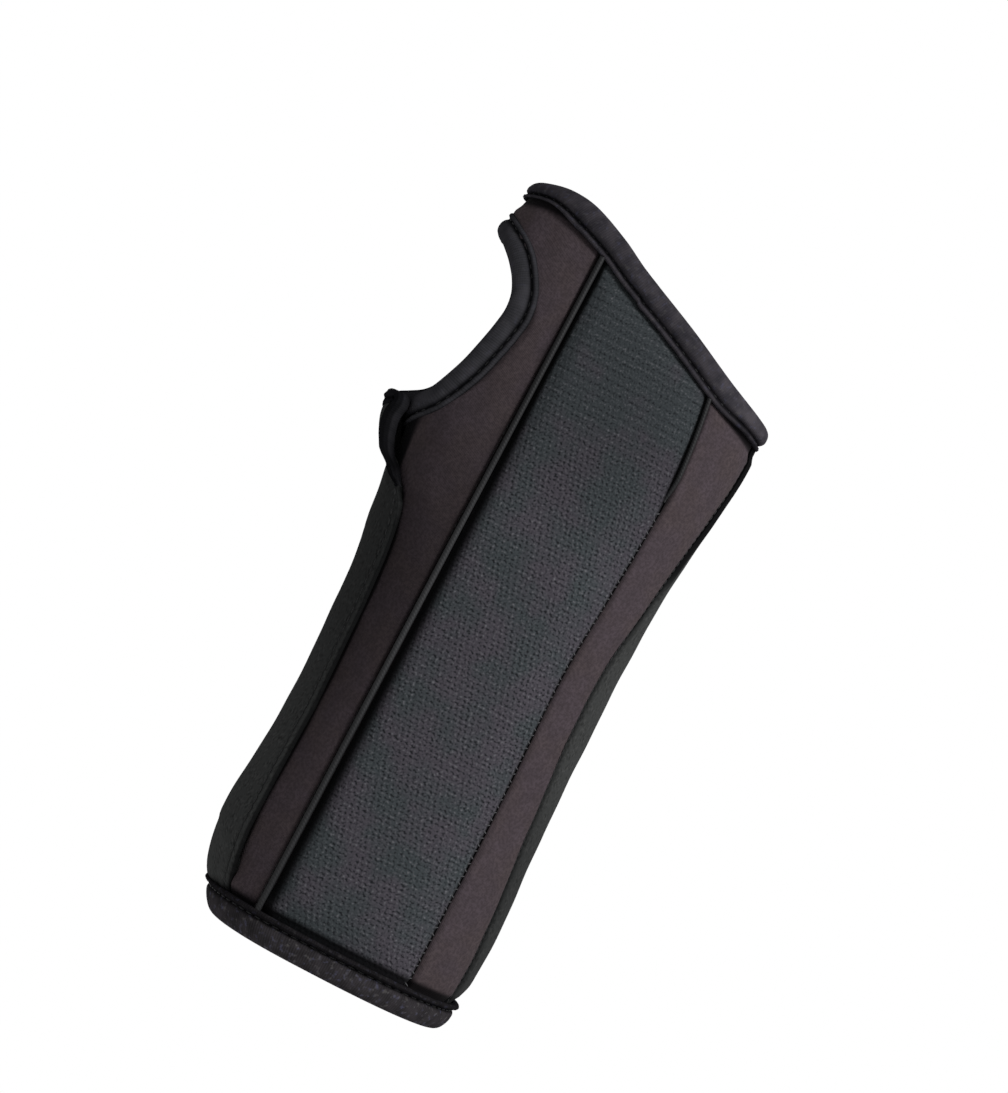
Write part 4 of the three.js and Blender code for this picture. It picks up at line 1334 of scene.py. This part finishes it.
def thread_row(name, points, finish, pitch=STITCH_PITCH, length=2.0 * MM, thick=0.5 * MM, slant=0.0):
    """A row of stitches along points on the cloth. A slant makes them lean, each second one back."""
    path = bpy.data.curves.new(name + "_path", "CURVE")
    path.dimensions = "3D"
    spline = path.splines.new("POLY")
    spline.points.add(len(points) - 1)
    spline.points.foreach_set("co", np.hstack([points, np.ones((len(points), 1))]).ravel())
    guide = bpy.data.objects.new(name + "_path", path)
    bpy.context.scene.collection.objects.link(guide)
    run = float(np.linalg.norm(np.diff(points, axis=0), axis=1).sum())
    made = []
    for number, lean in enumerate([slant, -slant] if slant else [0]):
        bpy.ops.object.select_all(action="DESELECT")
        bpy.ops.mesh.primitive_uv_sphere_add(segments=10, ring_count=6, radius=0.5)
        stitch = bpy.context.object
        bpy.ops.transform.rotate(value=math.radians(90), orient_axis="Y", center_override=(0, 0, 0))
        bpy.ops.transform.resize(value=(length, thick, thick))
        bpy.ops.transform.rotate(value=math.radians(lean), orient_axis="Z", center_override=(0, 0, 0))
        bpy.ops.transform.translate(value=((number + 0.5) * pitch, 0, 0))
        bpy.ops.object.transform_apply(location=True, rotation=True, scale=True)
        made.append(stitch)
    bpy.ops.object.select_all(action="DESELECT")
    for stitch in made:
        stitch.select_set(True)
    bpy.context.view_layer.objects.active = made[0]
    if len(made) > 1:
        bpy.ops.object.join()
    stitch = bpy.context.object
    stitch.name = stitch.data.name = name
    step = pitch * len(made)
    row_array = stitch.modifiers.new("row", "ARRAY")
    row_array.use_relative_offset = False
    row_array.use_constant_offset = True
    row_array.constant_offset_displace = (step, 0, 0)
    row_array.count = int(run / step)
    bend = stitch.modifiers.new("along the seam", "CURVE")
    bend.object = guide
    bpy.ops.object.modifier_apply(modifier=row_array.name)
    bpy.ops.object.modifier_apply(modifier=bend.name)
    bpy.ops.object.shade_smooth()
    bpy.data.objects.remove(guide)
    finish.on(stitch)
    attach(stitch, "root")
    print(f"{name}: {len(stitch.data.polygons) // 60} stitches over {run / MM:.0f} mm")
    return stitch


def row_on_edge(line, lift, toward, out, loop=False):
    """A line of points on a tape or wall, set back from its free edge."""
    moved = inset(line, toward, loop)
    angle, z = moved[:, 0], moved[:, 1]
    return raised(angle, z, lift(angle, z) + out)


def row_on_seam(seam_angle, low, high, sideways, lift, out, count=200):
    heights = np.linspace(low, high, count)
    angle = angle_at(seam_line(seam_angle, sideways, heights)[:, 0])
    return raised(angle, heights, lift(angle, heights) + out)


print("stitches on the tapes come every", STITCH_PITCH / MM, "mm")

# %% Sew the rows on the tapes
hand_row = (HEM_WIDTH - GROOVE_SET) * hand_fullness[:, None]
thread_row("hand_hem_stitches", row_on_edge(hand_hem_line, flat_lift, hand_row, -0.05 * MM, True), thread)
forearm_row = row_on_edge(forearm_hem_line, flat_lift, HEM_WIDTH - 0.35 * MM, 0.5 * MM, True)
thread_row("forearm_hem_stitches", forearm_row, thread)
hole_row = row_on_edge(thumb_hole_line, thumb_panel_lift, HOLE_TAPE - GROOVE_SET, 0)
thread_row("thumb_hole_stitches", hole_row, thread)
LIP_STATIONS = 64
flap_row = (FLAP_TAPE - GROOVE_SET) * flap_fullness[:-LIP_STATIONS, None]
flap_row = row_on_edge(flap_edge_line[:-LIP_STATIONS], flap_lift, flap_row, -0.15 * MM)
thread_row("flap_edge_stitches", flap_row, thread)

# %% Sew the rows beside the seams
piping_row = row_on_seam(piping_angle, piping_foot, welt_top + 17 * MM, -1.5 * MM, flat_lift, -0.85 * MM)
thread_row("piping_stitches", piping_row, thread, 1.9 * MM, 1.5 * MM, 0.5 * MM)
palm_row = row_on_seam(palm_edge_angle, piping_foot, welt_foot, -0.7 * MM, flat_lift, -0.25 * MM)
thread_row("palm_edge_stitches", palm_row, pale_thread, 1.8 * MM, 1.3 * MM, 0.36 * MM, 62)
finger_row = row_on_seam(finger_angle, piping_foot, 72 * MM, -1.3 * MM, flat_lift, -0.1 * MM)
thread_row("finger_seam_stitches", finger_row, thread, 1.9 * MM, 1.5 * MM, 0.4 * MM)
closing_ends = (-FOREARM + 9 * MM, LIP_FOOT - 4 * MM)
closing_row = row_on_seam(flap_front_angle, *closing_ends, -CLOSING_ROW_SET, flap_lift, -0.15 * MM)
thread_row("closing_stitches", closing_row, thread)

# %% [markdown]
# ## Light, floor and camera
# The brace is photographed against plain white with soft light from its right. A white world gives
# the even glow, one wide lamp on the right models the folds, and a pale floor lies far below,
# because the brace is held up at its mount.

# %% Studio
world = bpy.data.worlds.new("white studio")
bpy.context.scene.world = world
world.use_nodes = True
sky = world.node_tree
glow = sky.nodes["Background"]
glow.inputs["Color"].default_value = (1, 1, 1, 1)
glow.inputs["Strength"].default_value = 0.36
paper = sky.nodes.new("ShaderNodeBackground")
paper.inputs["Color"].default_value = (1, 1, 1, 1)
seen = sky.nodes.new("ShaderNodeLightPath")
either = sky.nodes.new("ShaderNodeMixShader")
sky.links.new(seen.outputs["Is Camera Ray"], either.inputs[0])
sky.links.new(glow.outputs[0], either.inputs[1])
sky.links.new(paper.outputs[0], either.inputs[2])
sky.links.new(either.outputs[0], sky.nodes["World Output"].inputs["Surface"])

bpy.ops.object.select_all(action="DESELECT")
bpy.ops.mesh.primitive_plane_add(size=8, location=(0, 0, -1.15))
floor = bpy.context.object
floor.name = "floor"
pale = bpy.data.materials.new("pale floor")
pale.use_nodes = True
paint = pale.node_tree.nodes["Principled BSDF"].inputs
paint["Base Color"].default_value = (0.9, 0.9, 0.9, 1)
paint["Roughness"].default_value = 0.9
paint["Emission Color"].default_value = (1, 1, 1, 1)
paint["Emission Strength"].default_value = 0.35
floor.data.materials.append(pale)

AIM = Vector((-3.1 * MM, 0, 22.3 * MM))
TILT = math.radians(27.8)
RIGHT = Vector((math.cos(TILT), 0, math.sin(TILT)))
UP = Vector((-math.sin(TILT), 0, math.cos(TILT)))
TO_CAMERA = Vector((0, -1, 0))


def lamp(name, to_right, upward, forward, distance, size, power_watts):
    """A square lamp, placed by its direction from the brace as the camera sees it."""
    way = (RIGHT * to_right + UP * upward + TO_CAMERA * forward).normalized()
    bpy.ops.object.light_add(type="AREA", location=AIM + way * distance)
    light = bpy.context.object
    light.name = name
    light.data.size = size
    light.data.energy = power_watts
    light.rotation_mode = "QUATERNION"
    light.rotation_quaternion = (-way).to_track_quat("-Z", "Y")
    return light


lamp("key", 0.85, 0.25, 0.5, 1.2, 0.5, 14)
view = bpy.context.scene.view_settings
view.view_transform = "Standard"
view.look = "None"

# %% [markdown]
# The camera stands level with the middle of the brace, about a metre away, and is rolled so that
# the brace leans to the right as in the photograph. A long lens keeps the sides nearly parallel.

# %% Camera
DISTANCE = 1.1
CAMERA_HEIGHT = 6 * MM
MM_PER_PIXEL = 0.258
PHOTO_HEIGHT = 1093
SENSOR = 36.0

camera_data = bpy.data.cameras.new("camera")
camera = bpy.data.objects.new("camera", camera_data)
bpy.context.scene.collection.objects.link(camera)
bpy.context.scene.camera = camera
camera_data.sensor_width = SENSOR
camera_data.lens = SENSOR * DISTANCE / (PHOTO_HEIGHT * MM_PER_PIXEL * MM)
camera.location = (AIM.x, -DISTANCE, CAMERA_HEIGHT)
back = (camera.location - AIM).normalized()
right = (RIGHT - back * RIGHT.dot(back)).normalized()
up = back.cross(right)
camera.rotation_mode = "QUATERNION"
camera.rotation_quaternion = Matrix((right, up, back)).transposed().to_quaternion()
print("lens in mm:", round(camera_data.lens, 1))
